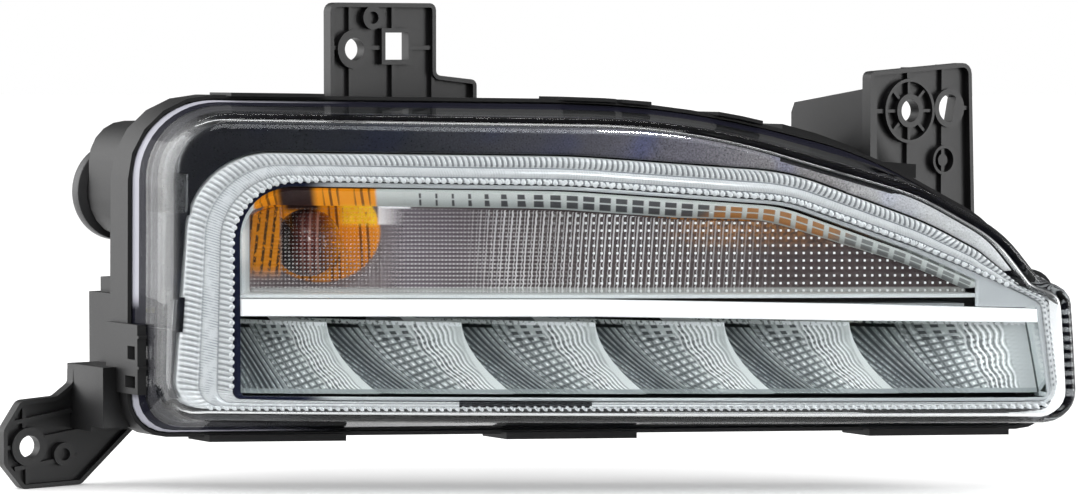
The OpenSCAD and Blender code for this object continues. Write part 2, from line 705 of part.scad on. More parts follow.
// The bulb stands on its own axis, with its base held by the twist-in holder.
module bulb_frame() {
    in_draw()
        translate([bulb_x * cos(slant), bulb_z, -bulb_w])
            children();
}
module bulb_glass() {
    color([0.95, 0.55, 0.1, 0.6])
        place()
            bulb_frame() {
                sphere(r = glass_r, $fn = 64);
                translate([0, 0, -19])
                    cylinder(h = 14, r1 = 7.2, r2 = 12, $fn = 64);
            }
}
module bulb_base() {
    color([0.75, 0.6, 0.3])
        place()
            bulb_frame() {
                translate([0, 0, -36])
                    cylinder(h = 17, r = 7.5, $fn = 64);
                for (turn = [0, 150])
                    rotate([0, 90, turn])
                        translate([32, 0, 7])
                            cylinder(h = 1.9, r = 0.9, $fn = 32);
            }
}
module bulb_contact() {
    color([0.8, 0.6, 0.3])
        place()
            bulb_frame()
                translate([0, 0, -39])
                    cylinder(h = 3, r = 2.4, $fn = 32);
}
module bulb_holder() {
    color([0.16, 0.16, 0.17])
        place()
            difference() {
                union() {
                    rod(bulb_x, bulb_z, 11, bulb_w + 21, holder_w + 1);
                    rod(bulb_x, bulb_z, 15.6, holder_w - 6, holder_w + 1);
                    rod(bulb_x, bulb_z, 19.5, holder_w + 1, holder_w + 4);
                    for (turn = [0 : 120 : 240])
                        bulb_frame()
                            rotate([0, 0, turn])
                                translate([10, -2.5, bulb_w - holder_w + 4.5])
                                    cube([7.5, 5, 2]);
                    in_draw()
                        translate([bulb_x * cos(slant), bulb_z, -holder_w - 10])
                            translate([-15, -2, 0])
                                cube([30, 4, 7]);
                    in_draw()
                        translate([bulb_x * cos(slant), bulb_z, -holder_w - 14])
                            translate([-9, -7, 0])
                                cube([18, 14, 11]);
                }
                rod(bulb_x, bulb_z, 7.5 + gap / 2, bulb_w + 18, bulb_w + 36);
                rod(bulb_x, bulb_z, 4, bulb_w + 30, bulb_w + 39);
                for (turn = [0, 150])
                    bulb_frame()
                        rotate([0, 0, turn])
                            translate([5, -1.2, -34])
                                cube([4.4, 2.4, 16]);
                in_draw()
                    translate([bulb_x * cos(slant), bulb_z, -holder_w - 15])
                        translate([-7, -5, 0])
                            cube([14, 10, 9]);
            }
}
module holder_seal() {
    color([0.5, 0.1, 0.1])
        place()
            difference() {
                rod(bulb_x, bulb_z, 18.5, holder_w, holder_w + 1);
                rod(bulb_x, bulb_z, 16, holder_w - 1, holder_w + 2);
            }
}

// Daytime row
cell_edges = [tray_left, -68.4, -17.3, 34.1, 84.4, 134, 204.4];
cell_cols = 16;
cell_rows = 8;
flute = 0.6;
function edge_x(i, w) = cell_edges[i] + (i == 0 ? 0 : i == 6 ? 3 * w : ridge_lean * pow(w, 1.85));
function cell_y(s, w) =
    ridge_y + (cell_depth * pow(1 - w, 1.3) + 3) * pow(1 - s, 1.4) * (1 - 0.2 * w) + 2 * (1 - w);
function flute_depth(i, j) = j % 2 == 1 && i > 0 && i < cell_rows ? flute * (1 - j / cell_cols / 2) : 0;
module drl_reflector() {
    cells = len(cell_edges) - 1;
    function spot(c, j, i, dx) = let (w = i / cell_rows, s = j / cell_cols)
        [mix(edge_x(c, w), edge_x(c + 1, w), s) + dx, mix(cell_top, cell_bottom, w),
         cell_y(s, w) + flute_depth(i, j)];
    function front_row(i) = [for (c = [0 : cells - 1]) for (j = [0 : cell_cols])
        let (p = spot(c, j, i, 0)) at(p[0], p[1], bow(p[0], p[2]))];
    function back_row(i) = [for (c = [0 : cells - 1]) for (j = [0 : cell_cols])
        let (p = spot(c, j, i, (j == 0 || (j == cell_cols && c < cells - 1)) ? -shell_t : 0))
        at(p[0], p[1], bow(p[0], p[2] + shell_t - flute_depth(i, j)))];
    color([0.75, 0.77, 0.78])
        place()
            sheet([for (i = [cell_rows : -1 : 0]) front_row(i)], [for (i = [cell_rows : -1 : 0]) back_row(i)]);
}

module flat_piece(x0, x1, y0, y1, z0, z1) {
    translate([0, 0, z0])
        linear_extrude(height = z1 - z0)
            polygon([for (p = [[x0, y0], [x1, y0], [x1, y1], [x0, y1]]) [p[0] - tilt * p[1], p[1]]]);
}
board_left = deep_left - 6;
board_right = deep_right - 4;
board_front = 26;
board_back = shallow_back + 3;
module led_board() {
    color([0.1, 0.35, 0.15])
        place()
            flat_piece(board_left, board_right, board_front, board_back, board_z, board_z + board_t);
}
module leds() {
    color([0.95, 0.9, 0.6])
        place()
            for (i = [0 : 5])
                flat_piece(cell_edges[i] + 12, cell_edges[i] + 21, 38, 44, board_z - 1, board_z);
}
module heat_sink() {
    color([0.75, 0.76, 0.78])
        place() {
            flat_piece(board_left + 12, board_right, board_front + 2, deep_back - 10,
                       board_z + board_t, board_z + board_t + sink_t);
            flat_piece(sink_x0 + 10, sink_x1 - 10, board_back, deep_back + 1.6,
                       board_z + board_t, board_z + board_t + sink_t);
            slab(sink_x0, sink_x1, sink_z0, sink_z1, deep_back + 1, deep_back + 3.6);
            for (i = [0 : fins - 1])
                let (x = mix(sink_x0 + 12, sink_x1 - 12, i / (fins - 1)))
                    slab(x - 1, x + 1, sink_z0 + 3, sink_z1 - 3, deep_back + 3, deep_back + 20);
        }
}
module heat_sink_seal() {
    color([0.1, 0.1, 0.1])
        place()
            difference() {
                slab(sink_x0 + 1, sink_x1 - 1, sink_z0 + 1, sink_z1 - 1, deep_back, deep_back + 1);
                slab(sink_x0 + 8, sink_x1 - 8, sink_z0 + 6, sink_z1 - 6, deep_back - 1, deep_back + 2);
            }
}
module heat_sink_screws() {
    color([0.7, 0.7, 0.72])
        place()
            for (x = [sink_x0 + 4, sink_x1 - 4])
                for (z = [sink_z0 + 4, sink_z1 - 4])
                    translate([x - tilt * (deep_back + 3.6), deep_back + 3.6, z])
                        rotate([-90, 0, 0])
                            difference() {
                                cylinder(h = 2.6, r = 3.4, $fn = 48);
                                translate([0, 0, 1.2])
                                    cylinder(h = 2, r = 1.9, $fn = 6);
                            }
}

// Source of the light guide
module guide_board() {
    color([0.45, 0.42, 0.15])
        place()
            slab(-127.5, -106, -27.2, -25.6, 25, 42);
}
module guide_led() {
    color([0.95, 0.9, 0.6])
        place()
            slab(-124, -119, -25.6, -24.4, 25.5, 29.5);
}

// Cap, plug and breather
module turret_cap() {
    color([0.13, 0.13, 0.14])
        place()
            difference() {
                union() {
                    rod(cap_u / cos(slant), cap_z, 19.5, turret_back + 3, turret_back + 8);
                    in_draw()
                        translate([cap_u, cap_z, -turret_back - 13])
                            cylinder(h = 5, r1 = 15.5, r2 = 19.5, $fn = 64);
                    rod(cap_u / cos(slant), cap_z, 12.2, turret_back - 5, turret_back + 4);
                }
                rod(cap_u / cos(slant), cap_z, 10, turret_back - 6, turret_back + 6);
            }
}
module cap_seal() {
    color([0.5, 0.1, 0.1])
        place()
            in_draw()
                translate([cap_u, cap_z, -turret_back + 3])
                    rotate_extrude($fn = 64)
                        translate([12.35, 0])
                            circle(r = 0.15, $fn = 24);
}
module lamp_connector() {
    color([0.12, 0.12, 0.13])
        place()
            difference() {
                union() {
                    plug_box(13, 10, 0, 3);
                    plug_box(8.7, 5.7, -4, 0);
                    plug_box(11, 7.5, 3, 22);
                    translate([0, 0, 8.5])
                        plug_box(4, 1.5, 6, 12);
                }
                plug_box(9.4, 6, 4, 23);
            }
}
module connector_pins() {
    color([0.85, 0.75, 0.4])
        place()
            for (i = [-2 : 2])
                translate([i * 3.4, 0, 0])
                    plug_box(0.5, 0.4, 4, 13);
}
module vent_cap() {
    color([0.15, 0.15, 0.16])
        place()
            translate([60, deep_back - 3, 24])
                rotate([-90, 0, 0])
                    difference() {
                        union() {
                            translate([0, 0, 3])
                                cylinder(h = 6, r = 7, $fn = 64);
                            cylinder(h = 4, r = 3 - gap / 3, $fn = 48);
                        }
                        for (turn = [0 : 60 : 300])
                            rotate([0, 0, turn])
                                translate([4.2, -0.9, 4.2])
                                    cube([4, 1.8, 2.4]);
                    }
}

rear_housing();
outer_lens();
lens_seal();
bezel();
light_guide();
chrome_frame();
divider_bar();
indicator_inner_lens();
indicator_reflector();
drl_reflector();
led_board();
leds();
guide_board();
guide_led();
bulb_glass();
bulb_base();
bulb_contact();
bulb_holder();
holder_seal();
turret_cap();
cap_seal();
heat_sink();
heat_sink_seal();
heat_sink_screws();
lamp_connector();
connector_pins();
vent_cap();
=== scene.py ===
import bpy, bmesh, math
from math import sin, cos, tan, radians, pi
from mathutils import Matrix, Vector


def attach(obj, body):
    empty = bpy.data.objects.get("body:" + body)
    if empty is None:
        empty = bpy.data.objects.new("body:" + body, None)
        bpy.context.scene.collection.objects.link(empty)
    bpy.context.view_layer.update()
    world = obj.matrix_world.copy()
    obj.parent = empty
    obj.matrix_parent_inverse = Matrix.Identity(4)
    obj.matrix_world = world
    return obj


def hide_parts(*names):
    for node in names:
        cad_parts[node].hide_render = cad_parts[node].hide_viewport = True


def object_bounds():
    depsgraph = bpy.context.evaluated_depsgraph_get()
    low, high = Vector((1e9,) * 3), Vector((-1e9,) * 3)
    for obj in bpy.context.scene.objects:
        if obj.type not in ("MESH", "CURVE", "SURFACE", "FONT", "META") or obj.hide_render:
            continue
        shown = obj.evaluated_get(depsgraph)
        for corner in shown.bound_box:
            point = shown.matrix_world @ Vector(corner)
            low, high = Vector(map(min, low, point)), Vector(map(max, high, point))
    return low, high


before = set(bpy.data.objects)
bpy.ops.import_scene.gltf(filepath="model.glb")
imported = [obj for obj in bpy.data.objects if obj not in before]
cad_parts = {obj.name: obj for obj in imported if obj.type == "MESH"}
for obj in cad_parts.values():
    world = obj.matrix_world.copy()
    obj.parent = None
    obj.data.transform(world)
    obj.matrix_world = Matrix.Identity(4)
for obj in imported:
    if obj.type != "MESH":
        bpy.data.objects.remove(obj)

cad_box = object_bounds()

# Frame: drawing millimetres, with x along the lamp, y back and z up, become the part's metres.
# Moulding lines run back at SLANT, and the part's origin is the lower outboard bore.
SLANT = radians(35)
TILT = tan(SLANT)
BORE_ALONG, BORE_BACK, BORE_UP = -142.0, 146.9, -80.1
ORIGIN = (BORE_ALONG * cos(SLANT) - BORE_BACK * sin(SLANT),
          BORE_ALONG * sin(SLANT) + BORE_BACK * cos(SLANT), BORE_UP)
# The front is bowed along and up: the two radii, and the level at which it stands foremost
BOW = 2400.0
BOW_UP = 900.0
BOW_LEVEL = -8
# Width, height and lower start of the inner lens's pillows
PILLOW_WIDE, PILLOW_HIGH, PILLOW_START = 3.05, 2.9, -60


def part_point(x, y, z):
    """A drawing point in the part's frame."""
    return Vector([(value - start) / 1000 for value, start in zip((x, y, z), ORIGIN)])


def at(x, z, y):
    """The point y behind the lens plane on the moulding line that crosses this plane at x and z."""
    return part_point(x - TILT * y, y, z)


def bow(x, y0):
    """The depth at x of a layer that is bowed like the lens and starts from the depth y0."""
    return y0 + (x - TILT * (y0 + x * x / (2 * BOW))) ** 2 / (2 * BOW)


def on_face(x, z, y0):
    """A point of the lens's front, which is bowed up as well as along."""
    return at(x, z, bow(x, y0) + (z - BOW_LEVEL) ** 2 / (2 * BOW_UP))


# Outlines
def unit(v):
    """The direction of v, with a length of one."""
    n = math.hypot(v[0], v[1]) or 1e-9
    return (v[0] / n, v[1] / n)


def lerp(a, b, t):
    return a + (b - a) * t


def mix(a, b, t):
    return tuple(lerp(p, q, t) for p, q in zip(a, b))


def clamp(v):
    return max(0, min(1, v))


def corner_arc(before, c, after, k):
    """The k + 1 points that round the corner c = (x, z, radius) between its two neighbours."""
    a = unit((before[0] - c[0], before[1] - c[1]))
    b = unit((after[0] - c[0], after[1] - c[1]))
    radius = c[2]
    half = math.acos(max(-1, min(1, a[0] * b[0] + a[1] * b[1]))) / 2
    m = unit((a[0] + b[0], a[1] + b[1]))
    mid = (c[0] + m[0] * radius / sin(half), c[1] + m[1] * radius / sin(half))
    first = (c[0] + a[0] * radius / tan(half), c[1] + a[1] * radius / tan(half))
    start = math.atan2(first[1] - mid[1], first[0] - mid[0])
    turn = (1 if a[1] * b[0] - a[0] * b[1] > 0 else -1) * (pi - 2 * half)
    angles = [start + turn * j / k for j in range(k + 1)]
    return [(mid[0] + radius * cos(angle), mid[1] + radius * sin(angle)) for angle in angles]


def outline(corners, k, m):
    """The closed outline of rounded corners, with k steps on each arc and m on each straight side."""
    n = len(corners)
    arcs = [corner_arc(corners[i - 1], corners[i], corners[(i + 1) % n], k) for i in range(n)]
    out = []
    for i in range(n):
        out += arcs[i] + [mix(arcs[i][-1], arcs[(i + 1) % n][0], j / m) for j in range(1, m)]
    return out


def pair(a, b, step):
    """Two closed outlines with matching corners, given alike many points, none further apart than step."""
    n = len(a)

    def arc(corners, i, k):
        return corner_arc(corners[i - 1], corners[i], corners[(i + 1) % n], k)

    def length(run):
        return sum(math.dist(run[q], run[q + 1]) for q in range(len(run) - 1))

    fine = [[arc(corners, i, 40) for i in range(n)] for corners in (a, b)]
    out = ([], [])
    for i in range(n):
        k = max(3, math.ceil(max(length(arcs[i]) for arcs in fine) / step))
        sides = [(arcs[i][-1], arcs[(i + 1) % n][0]) for arcs in fine]
        m = max(1, math.ceil(max(math.dist(*side) for side in sides) / step))
        for run, corners, side in zip(out, (a, b), sides):
            run += arc(corners, i, k) + [mix(*side, q / m) for q in range(1, m)]
    return out


def inset(p, d):
    """The closed outline d further in, or further out where d is negative."""
    n = len(p)
    out = []
    for i in range(n):
        t = unit((p[(i + 1) % n][0] - p[i - 1][0], p[(i + 1) % n][1] - p[i - 1][1]))
        out.append((p[i][0] - d * t[1], p[i][1] + d * t[0]))
    return out


def travelled(p):
    """How far along the closed outline each of its points lies, and last the whole way round."""
    run = [0.0]
    for q in range(len(p)):
        run.append(run[-1] + math.dist(p[q], p[(q + 1) % len(p)]))
    return run


# The front's rings, each as corners of (x, z, radius) from the lower left and round to the upper left
FOOT_LEFT, FOOT_RIGHT, FOOT_TOP, FOOT_BOTTOM = -138.9, 218.2, 56.4, -73.4
FOOT = [(FOOT_LEFT, FOOT_BOTTOM, 13), (FOOT_RIGHT, FOOT_BOTTOM + 3.4, 14), (FOOT_RIGHT - 2.6, -13.4, 7),
        (204.3, -10.8, 4), (189.8, 8.4, 40), (143, 34.5, 150), (68.8, FOOT_TOP - 3, 360),
        (FOOT_LEFT + 1, FOOT_TOP - 0.6, 31)]
FACE = [(FOOT_LEFT + 0.3, -67.2, 15), (FOOT_RIGHT - 1.8, -68.6, 12), (FOOT_RIGHT - 6.8, -16.8, 9),
        (198.6, -12.1, 4), (184, 5.6, 50), (153, 22.4, 100), (62, FOOT_TOP - 8, 280),
        (FOOT_LEFT + 1.9, FOOT_TOP - 5, 26)]
GUIDE_OUT = [(-131, -64.2, 12), (213.4, -62.8, 11), (208, -20.4, 7), (196.5, -14.9, 6), (180, -2.2, 40),
             (160, 8.2, 150), (104, 28.3, 100), (20, 34.4, 400), (-123.5, 36, 32)]
GUIDE_IN = [(-110.3, -59.6, 4), (211.8, -60.6, 4), (206.6, -22.4, 5), (194, -16.6, 20), (176, -9, 40),
            (155, -0.6, 150), (104, 17, 60), (20, 23, 400), (-109.3, 25, 24)]
WINDOW = [(-104.9, -58, 2), (210, -59, 2), (204.8, -23.4, 5), (155, -2.4, 150), (104, 15.3, 60),
          (20, 21.2, 400), (-104.9, 22.8, 20)]


def outboard_share(x):
    """Nought inboard of x = -70, growing to one over the 36 mm outboard of it."""
    return clamp((-70 - x) / 36)


# Meshes
MERGE = 1e-6


def add_object(name, data):
    ob = bpy.data.objects.new(name, data)
    bpy.context.scene.collection.objects.link(ob)
    return ob


def baked_mesh(ob):
    """The mesh that an object's curve or modifiers make; the object itself goes."""
    made = bpy.data.meshes.new_from_object(ob.evaluated_get(bpy.context.evaluated_depsgraph_get()))
    ob.modifiers.clear()
    bpy.data.objects.remove(ob)
    return made


def wear(me, mat):
    """One material, in place of any that the mesh has."""
    me.materials.clear()
    me.materials.append(mat)


def finish_mesh(name, me, mat, smooth, replaces):
    """A piece from a mesh: smooth is the angle in degrees from which an edge stays sharp."""
    bm = bmesh.new()
    bm.from_mesh(me)
    bmesh.ops.remove_doubles(bm, verts=bm.verts, dist=MERGE)
    bmesh.ops.recalc_face_normals(bm, faces=bm.faces)
    for f in bm.faces:
        f.smooth = True
    for e in bm.edges:
        e.smooth = len(e.link_faces) == 2 and e.calc_face_angle(0) < radians(smooth)
    bm.to_mesh(me)
    bm.free()
    ob = add_object(name, me)
    wear(me, mat)
    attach(ob, "root")
    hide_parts(*replaces)


def piece(name, verts, faces, mat, slot, smooth, replaces, flow=None):
    """A piece from points and faces; flow gives each point its two values for the material."""
    me = bpy.data.meshes.new(name)
    me.from_pydata([tuple(v) for v in verts], [], faces)
    if flow:
        layer = me.uv_layers.new(name="flow")
        for corner in me.loops:
            layer.data[corner.index].uv = flow[corner.vertex_index]
    finish_mesh(name, me, mat, smooth, replaces)


def loft(rows, first_cap=None, last_cap=None, ring=False):
    """Closed rows of points joined to a surface. A cap is the point that closes an end;
    in a ring the last row joins the first."""
    verts = [p for row in rows for p in row]
    n, m = len(rows[0]), len(rows)
    faces = []
    for r in range(m if ring else m - 1):
        a, b = r * n, (r + 1) % m * n
        faces += [(a + i, a + (i + 1) % n, b + (i + 1) % n, b + i) for i in range(n)]
    if first_cap is not None:
        verts.append(first_cap)
        faces += [(len(verts) - 1, (i + 1) % n, i) for i in range(n)]
    if last_cap is not None:
        verts.append(last_cap)
        faces += [(len(verts) - 1, (m - 1) * n + i, (m - 1) * n + (i + 1) % n) for i in range(n)]
    return verts, faces


# Materials. In all of them t is the node tree and b its Principled node.
def feed(t, n, inputs):
    """Sockets are linked to a node's inputs, and plain values set there."""
    for key, value in inputs.items():
        if isinstance(value, bpy.types.NodeSocket):
            t.links.new(value, n.inputs[key])
        else:
            n.inputs[key].default_value = value


def node(t, kind, inputs=None, **props):
    """A new node with its settings and inputs."""
    n = t.nodes.new(kind)
    for key, value in props.items():
        setattr(n, key, value)
    feed(t, n, inputs or {})
    return n


def calc(t, op, *args):
    return node(t, "ShaderNodeMath", dict(enumerate(args)), operation=op).outputs[0]


def joined(op):
    """A function that joins any number of values by one operation."""
    def join(t, first, *others):
        for value in others:
            first = calc(t, op, first, value)
        return first
    return join


times, plus, most = joined("MULTIPLY"), joined("ADD"), joined("MAXIMUM")


def inverse(t, v):
    return calc(t, "SUBTRACT", 1.0, v)


def span(t, v, lo, hi, a=0.0, b=1.0, kind="SMOOTHSTEP"):
    """From a to b while v goes from lo to hi, and level beyond them."""
    n = node(t, "ShaderNodeMapRange", {"Value": v, "From Min": lo, "From Max": hi, "To Min": a, "To Max": b},
             interpolation_type=kind)
    return n.outputs["Result"]


def within(t, v, lo, hi, soft):
    """One between two limits, nought outside, with soft edges."""
    return times(t, span(t, v, lo - soft, lo + soft), span(t, v, hi - soft, hi + soft, 1.0, 0.0))


def wave(t, v, count, sharp_lo=0.0, sharp_hi=1.0):
    """A wave from nought to one, count times for each unit of v."""
    c = calc(t, "COSINE", times(t, v, 2 * pi * count))
    return span(t, calc(t, "MULTIPLY_ADD", c, 0.5, 0.5), sharp_lo, sharp_hi)


def blend(t, f, a, b):
    """From colour a to colour b while f goes from nought to one."""
    a, b = (((*c, 1) if isinstance(c, tuple) and len(c) == 3 else c) for c in (a, b))
    return node(t, "ShaderNodeMix", {0: f, 6: a, 7: b}, data_type="RGBA").outputs[2]


def colour_ramp(t, value, stops):
    """Colours at stops along a value; the first stop lies at nought and the last at one."""
    ramp = node(t, "ShaderNodeValToRGB", {"Fac": value})
    points = ramp.color_ramp.elements
    points[0].color, points[1].color = (*stops[0][1], 1), (*stops[-1][1], 1)
    for place, colour in stops[1:-1]:
        points.new(place).color = (*colour, 1)
    return ramp.outputs["Color"]


def flow_uv(t):
    """The two values that a piece gives its points."""
    where = node(t, "ShaderNodeUVMap", uv_map="flow").outputs["UV"]
    sep = node(t, "ShaderNodeSeparateXYZ", {"Vector": where})
    return sep.outputs["X"], sep.outputs["Y"]


def place_xz(t):
    """Place along the lamp and height, in the part's metres."""
    where = node(t, "ShaderNodeTexCoord").outputs["Object"]
    sep = node(t, "ShaderNodeSeparateXYZ", {"Vector": where})
    return sep.outputs["X"], sep.outputs["Z"]


def speckle(t, scale, detail=2.0, **more):
    """Noise about scale times for each metre; more holds further inputs."""
    where = node(t, "ShaderNodeTexCoord").outputs["Object"]
    noise = node(t, "ShaderNodeTexNoise", {"Vector": where, "Scale": scale, "Detail": detail, **more})
    return noise.outputs["Fac"]


def bumps(t, height, strength, distance=0.0001):
    bump = node(t, "ShaderNodeBump", {"Strength": strength, "Distance": distance, "Height": height})
    return bump.outputs["Normal"]


def new_mat(name):
    """A new material, its node tree and its Principled node."""
    m = bpy.data.materials.new(name)
    m.use_nodes = True
    return m, m.node_tree, m.node_tree.nodes["Principled BSDF"]


def grain_group():
    """Fine grain and broad patches: a colour between dark and light, a roughness and a height."""
    g = bpy.data.node_groups.new("surface_grain", "ShaderNodeTree")
    for name, kind, value in (
            ("Scale", "NodeSocketFloat", 1500.0), ("Patch Scale", "NodeSocketFloat", 20.0),
            ("Dark", "NodeSocketColor", (0.02, 0.02, 0.02, 1)),
            ("Light", "NodeSocketColor", (0.03, 0.03, 0.03, 1)),
            ("Rough Low", "NodeSocketFloat", 0.4), ("Rough High", "NodeSocketFloat", 0.55)):
        g.interface.new_socket(name=name, in_out="INPUT", socket_type=kind).default_value = value
    for name, kind in (("Color", "NodeSocketColor"), ("Roughness", "NodeSocketFloat"),
                       ("Height", "NodeSocketFloat")):
        g.interface.new_socket(name=name, in_out="OUTPUT", socket_type=kind)
    given = g.nodes.new("NodeGroupInput").outputs
    result = g.nodes.new("NodeGroupOutput")
    fine = speckle(g, given["Scale"], 3.0, Roughness=0.6)
    broad = speckle(g, given["Patch Scale"], 4.0, Roughness=0.55)
    tone = span(g, broad, 0.3, 0.7, kind="LINEAR")
    rough = span(g, fine, 0.3, 0.7, given["Rough Low"], given["Rough High"], "LINEAR")
    colour = blend(g, tone, given["Dark"], given["Light"])
    feed(g, result, {"Color": colour, "Roughness": rough, "Height": fine})
    return g


GRAIN = grain_group()


def grain_mat(name, dark, light, rough, scale=1500, patch=20, bump=0.1, metallic=0.0, coat=0.0, more=None):
    """A grained surface between two colours and two roughnesses; more holds further Principled inputs."""
    m, t, b = new_mat(name)
    grain = node(t, "ShaderNodeGroup",
                 {"Scale": scale, "Patch Scale": patch, "Dark": (*dark, 1), "Light": (*light, 1),
                  "Rough Low": rough[0], "Rough High": rough[1]}, node_tree=GRAIN).outputs
    feed(t, b, {"Base Color": grain["Color"], "Roughness": grain["Roughness"],
                "Normal": bumps(t, grain["Height"], bump, 0.0002), "Metallic": metallic, "Coat Weight": coat,
                "Coat Roughness": 0.1, **(more or {})})
    return m


def white_glow(strength):
    """Inputs that make a surface give off some white light."""
    return {"Emission Strength": strength, "Emission Color": (1, 1, 1, 1)}


def settle(t, b, colour, fine, rough, metallic=0.0, coat=0.0, painted_glow=0.0):
    """Colour with a little grain in its roughness and surface; a part that is no lamp may give off painted
    light in the same colour.
    """
    feed(t, b, {"Base Color": colour, "Roughness": span(t, fine, 0.3, 0.7, *rough),
                "Normal": bumps(t, fine, 0.02), "Metallic": metallic, "Coat Weight": coat,
                "Coat Roughness": 0.05})
    if painted_glow:
        feed(t, b, {"Emission Color": colour, "Emission Strength": painted_glow})


def lens_mat():
    """Clear plastic that lets light through to what it covers; its skirt carries painted pale, dark and grey
    strips that stand in for reflections at its edge.
    u counts the ribs along the rim, and v goes down the skirt from nought at the face to one at the foot."""
    m, t, b = new_mat("clear_lens")
    noise = speckle(t, 200.0)
    u, v = flow_uv(t)
    feed(t, b, {"Base Color": blend(t, noise, (0.95, 0.97, 0.98), (0.96, 0.98, 0.99)),
                "Normal": bumps(t, noise, 0.01), "Roughness": 0.0, "IOR": 1.45, "Transmission Weight": 1.0})
    x, z = place_xz(t)
    left = span(t, x, 0.13, 0.075)
    right = span(t, x, 0.384, 0.392)
    upper = span(t, z, 0.02, 0.03)
    strip_reach = most(t, span(t, z, 0.054, 0.061), span(t, z, 0.0235, 0.019))
    # painted reflections: pale, dark and grey strips down the skirt, in place of the lines its edge reflects
    # and refracts
    pale = times(t, within(t, v, 0.66, 0.86, 0.01), left, strip_reach)
    dark = calc(t, "SUBTRACT", plus(t, within(t, v, 0.66, 1.0, 0.01), within(t, v, 0.45, 0.66, 0.01)), pale)
    dark = times(t, dark, most(t, upper, left), inverse(t, right))
    grey = times(t, within(t, v, 0.1, 0.4, 0.03), left)
    ribs = times(t, wave(t, u, 1.0, 0.3, 0.7), right)
    tone = blend(t, grey, blend(t, pale, (0.012, 0.012, 0.02), (0.6, 0.6, 0.68)), (0.09, 0.09, 0.1))
    tone = blend(t, ribs, tone, (0.85, 0.86, 0.87))
    rope = times(t, within(t, v, 0.62, 1.0, 0.01), right)
    painted_strip_layer = node(t, "ShaderNodeBsdfPrincipled",
                {"Base Color": tone, "Roughness": 0.3, "Specular IOR Level": 0.0})
    amount = plus(t, times(t, pale, 0.6), times(t, dark, 0.8), times(t, grey, 0.4))
    amount = most(t, amount, times(t, rope, 0.8))
    skirt = node(t, "ShaderNodeMixShader", {0: amount, 1: b.outputs[0], 2: painted_strip_layer.outputs[0]})
    clear = node(t, "ShaderNodeBsdfTransparent", {"Color": (0.96, 0.98, 0.99, 1)})
    shadow = node(t, "ShaderNodeLightPath").outputs["Is Shadow Ray"]
    seen = node(t, "ShaderNodeMixShader", {0: shadow, 1: skirt.outputs[0], 2: clear.outputs[0]})
    t.links.new(seen.outputs[0], t.nodes["Material Output"].inputs["Surface"])
    return m


def bezel_mat():
    """Satin metallised trim with a fine speckle; its tone, dark outboard and paler inboard, and its blue
    patches are painted reflections.
    """
    m, t, b = new_mat("satin_metallised_trim")
    x = place_xz(t)[0]
    # painted reflection: the tone runs from nearly black outboard to pale grey inboard
    stops = ((0.0, (0.006, 0.006, 0.008)), (0.3, (0.01, 0.011, 0.015)), (0.48, (0.04, 0.038, 0.048)),
             (0.62, (0.1, 0.092, 0.11)), (0.78, (0.26, 0.24, 0.24)), (0.9, (0.68, 0.67, 0.67)),
             (1.0, (0.9, 0.9, 0.9)))
    tone = colour_ramp(t, span(t, x, 0.05, 0.385, kind="LINEAR"), stops)
    speck = speckle(t, 1500.0, 3.0)
    calm = span(t, x, 0.3, 0.36, 1.9, 1.05)
    amount = span(t, speck, 0.35, 0.75, 0.8, calm, "LINEAR")
    # painted blue reflections in patches, outboard only
    patch = span(t, speckle(t, 28.0), 0.55, 0.72, 0.0, 0.7)
    painted_blue_reflection = times(t, patch, inverse(t, span(t, x, 0.3, 0.36)))
    bright = node(t, "ShaderNodeVectorMath", {0: tone, "Scale": amount}, operation="SCALE").outputs[0]
    blue = node(t, "ShaderNodeVectorMath", {0: bright, 1: (0.55, 0.7, 1.5)}, operation="MULTIPLY").outputs[0]
    feed(t, b, {"Base Color": blend(t, painted_blue_reflection, bright, blue),
                "Roughness": span(t, speck, 0.0, 1.0, 0.2, 0.42, "LINEAR"),
                "Normal": bumps(t, speck, 0.25), "Metallic": 0.3, "Coat Weight": 0.3, "Coat Roughness": 0.06})
    return m


HOUSING = grain_mat("black_grained_plastic", (0.006, 0.006, 0.0065), (0.012, 0.012, 0.0125), (0.36, 0.5),
                    scale=2600, bump=0.12, more={"Specular IOR Level": 0.4})
HOLDER = grain_mat("dark_nylon", (0.03, 0.03, 0.032), (0.05, 0.05, 0.052), (0.4, 0.55), scale=2200)
CAP = grain_mat("cap_plastic", (0.035, 0.035, 0.037), (0.055, 0.055, 0.057), (0.35, 0.5), scale=2400)
BEZEL = bezel_mat()
DARK_TRIM = grain_mat("dark_trim", (0.008, 0.008, 0.01), (0.016, 0.016, 0.019), (0.2, 0.35), bump=0.05)
CHROME = grain_mat("metallised", (0.66, 0.69, 0.69), (0.76, 0.79, 0.79), (0.06, 0.14),
                   scale=900, patch=9, bump=0.02, metallic=1.0)
# the bar is no lamp: its glow is painted light
WHITE = grain_mat("white_bar_with_painted_glow", (0.9, 0.9, 0.9), (0.95, 0.95, 0.95), (0.25, 0.35),
                  scale=1800, bump=0.03, more=white_glow(0.35))
BOARD = grain_mat("green_board", (0.02, 0.09, 0.04), (0.03, 0.14, 0.06), (0.3, 0.5), scale=900)
OLIVE = grain_mat("olive_board", (0.17, 0.16, 0.04), (0.24, 0.22, 0.06), (0.3, 0.5), scale=900)
LED = grain_mat("phosphor", (0.75, 0.66, 0.25), (0.85, 0.78, 0.4), (0.3, 0.4), scale=2500)
BRASS = grain_mat("turned_brass", (0.45, 0.3, 0.12), (0.55, 0.38, 0.16), (0.2, 0.35),
                  scale=1200, bump=0.05, metallic=1.0)
RED_SEAL = grain_mat("red_silicone", (0.2, 0.03, 0.02), (0.28, 0.04, 0.03), (0.5, 0.65))
BLACK_SEAL = grain_mat("black_rubber", (0.012, 0.012, 0.012), (0.02, 0.02, 0.02), (0.55, 0.7), scale=1400,
                       bump=0.15)
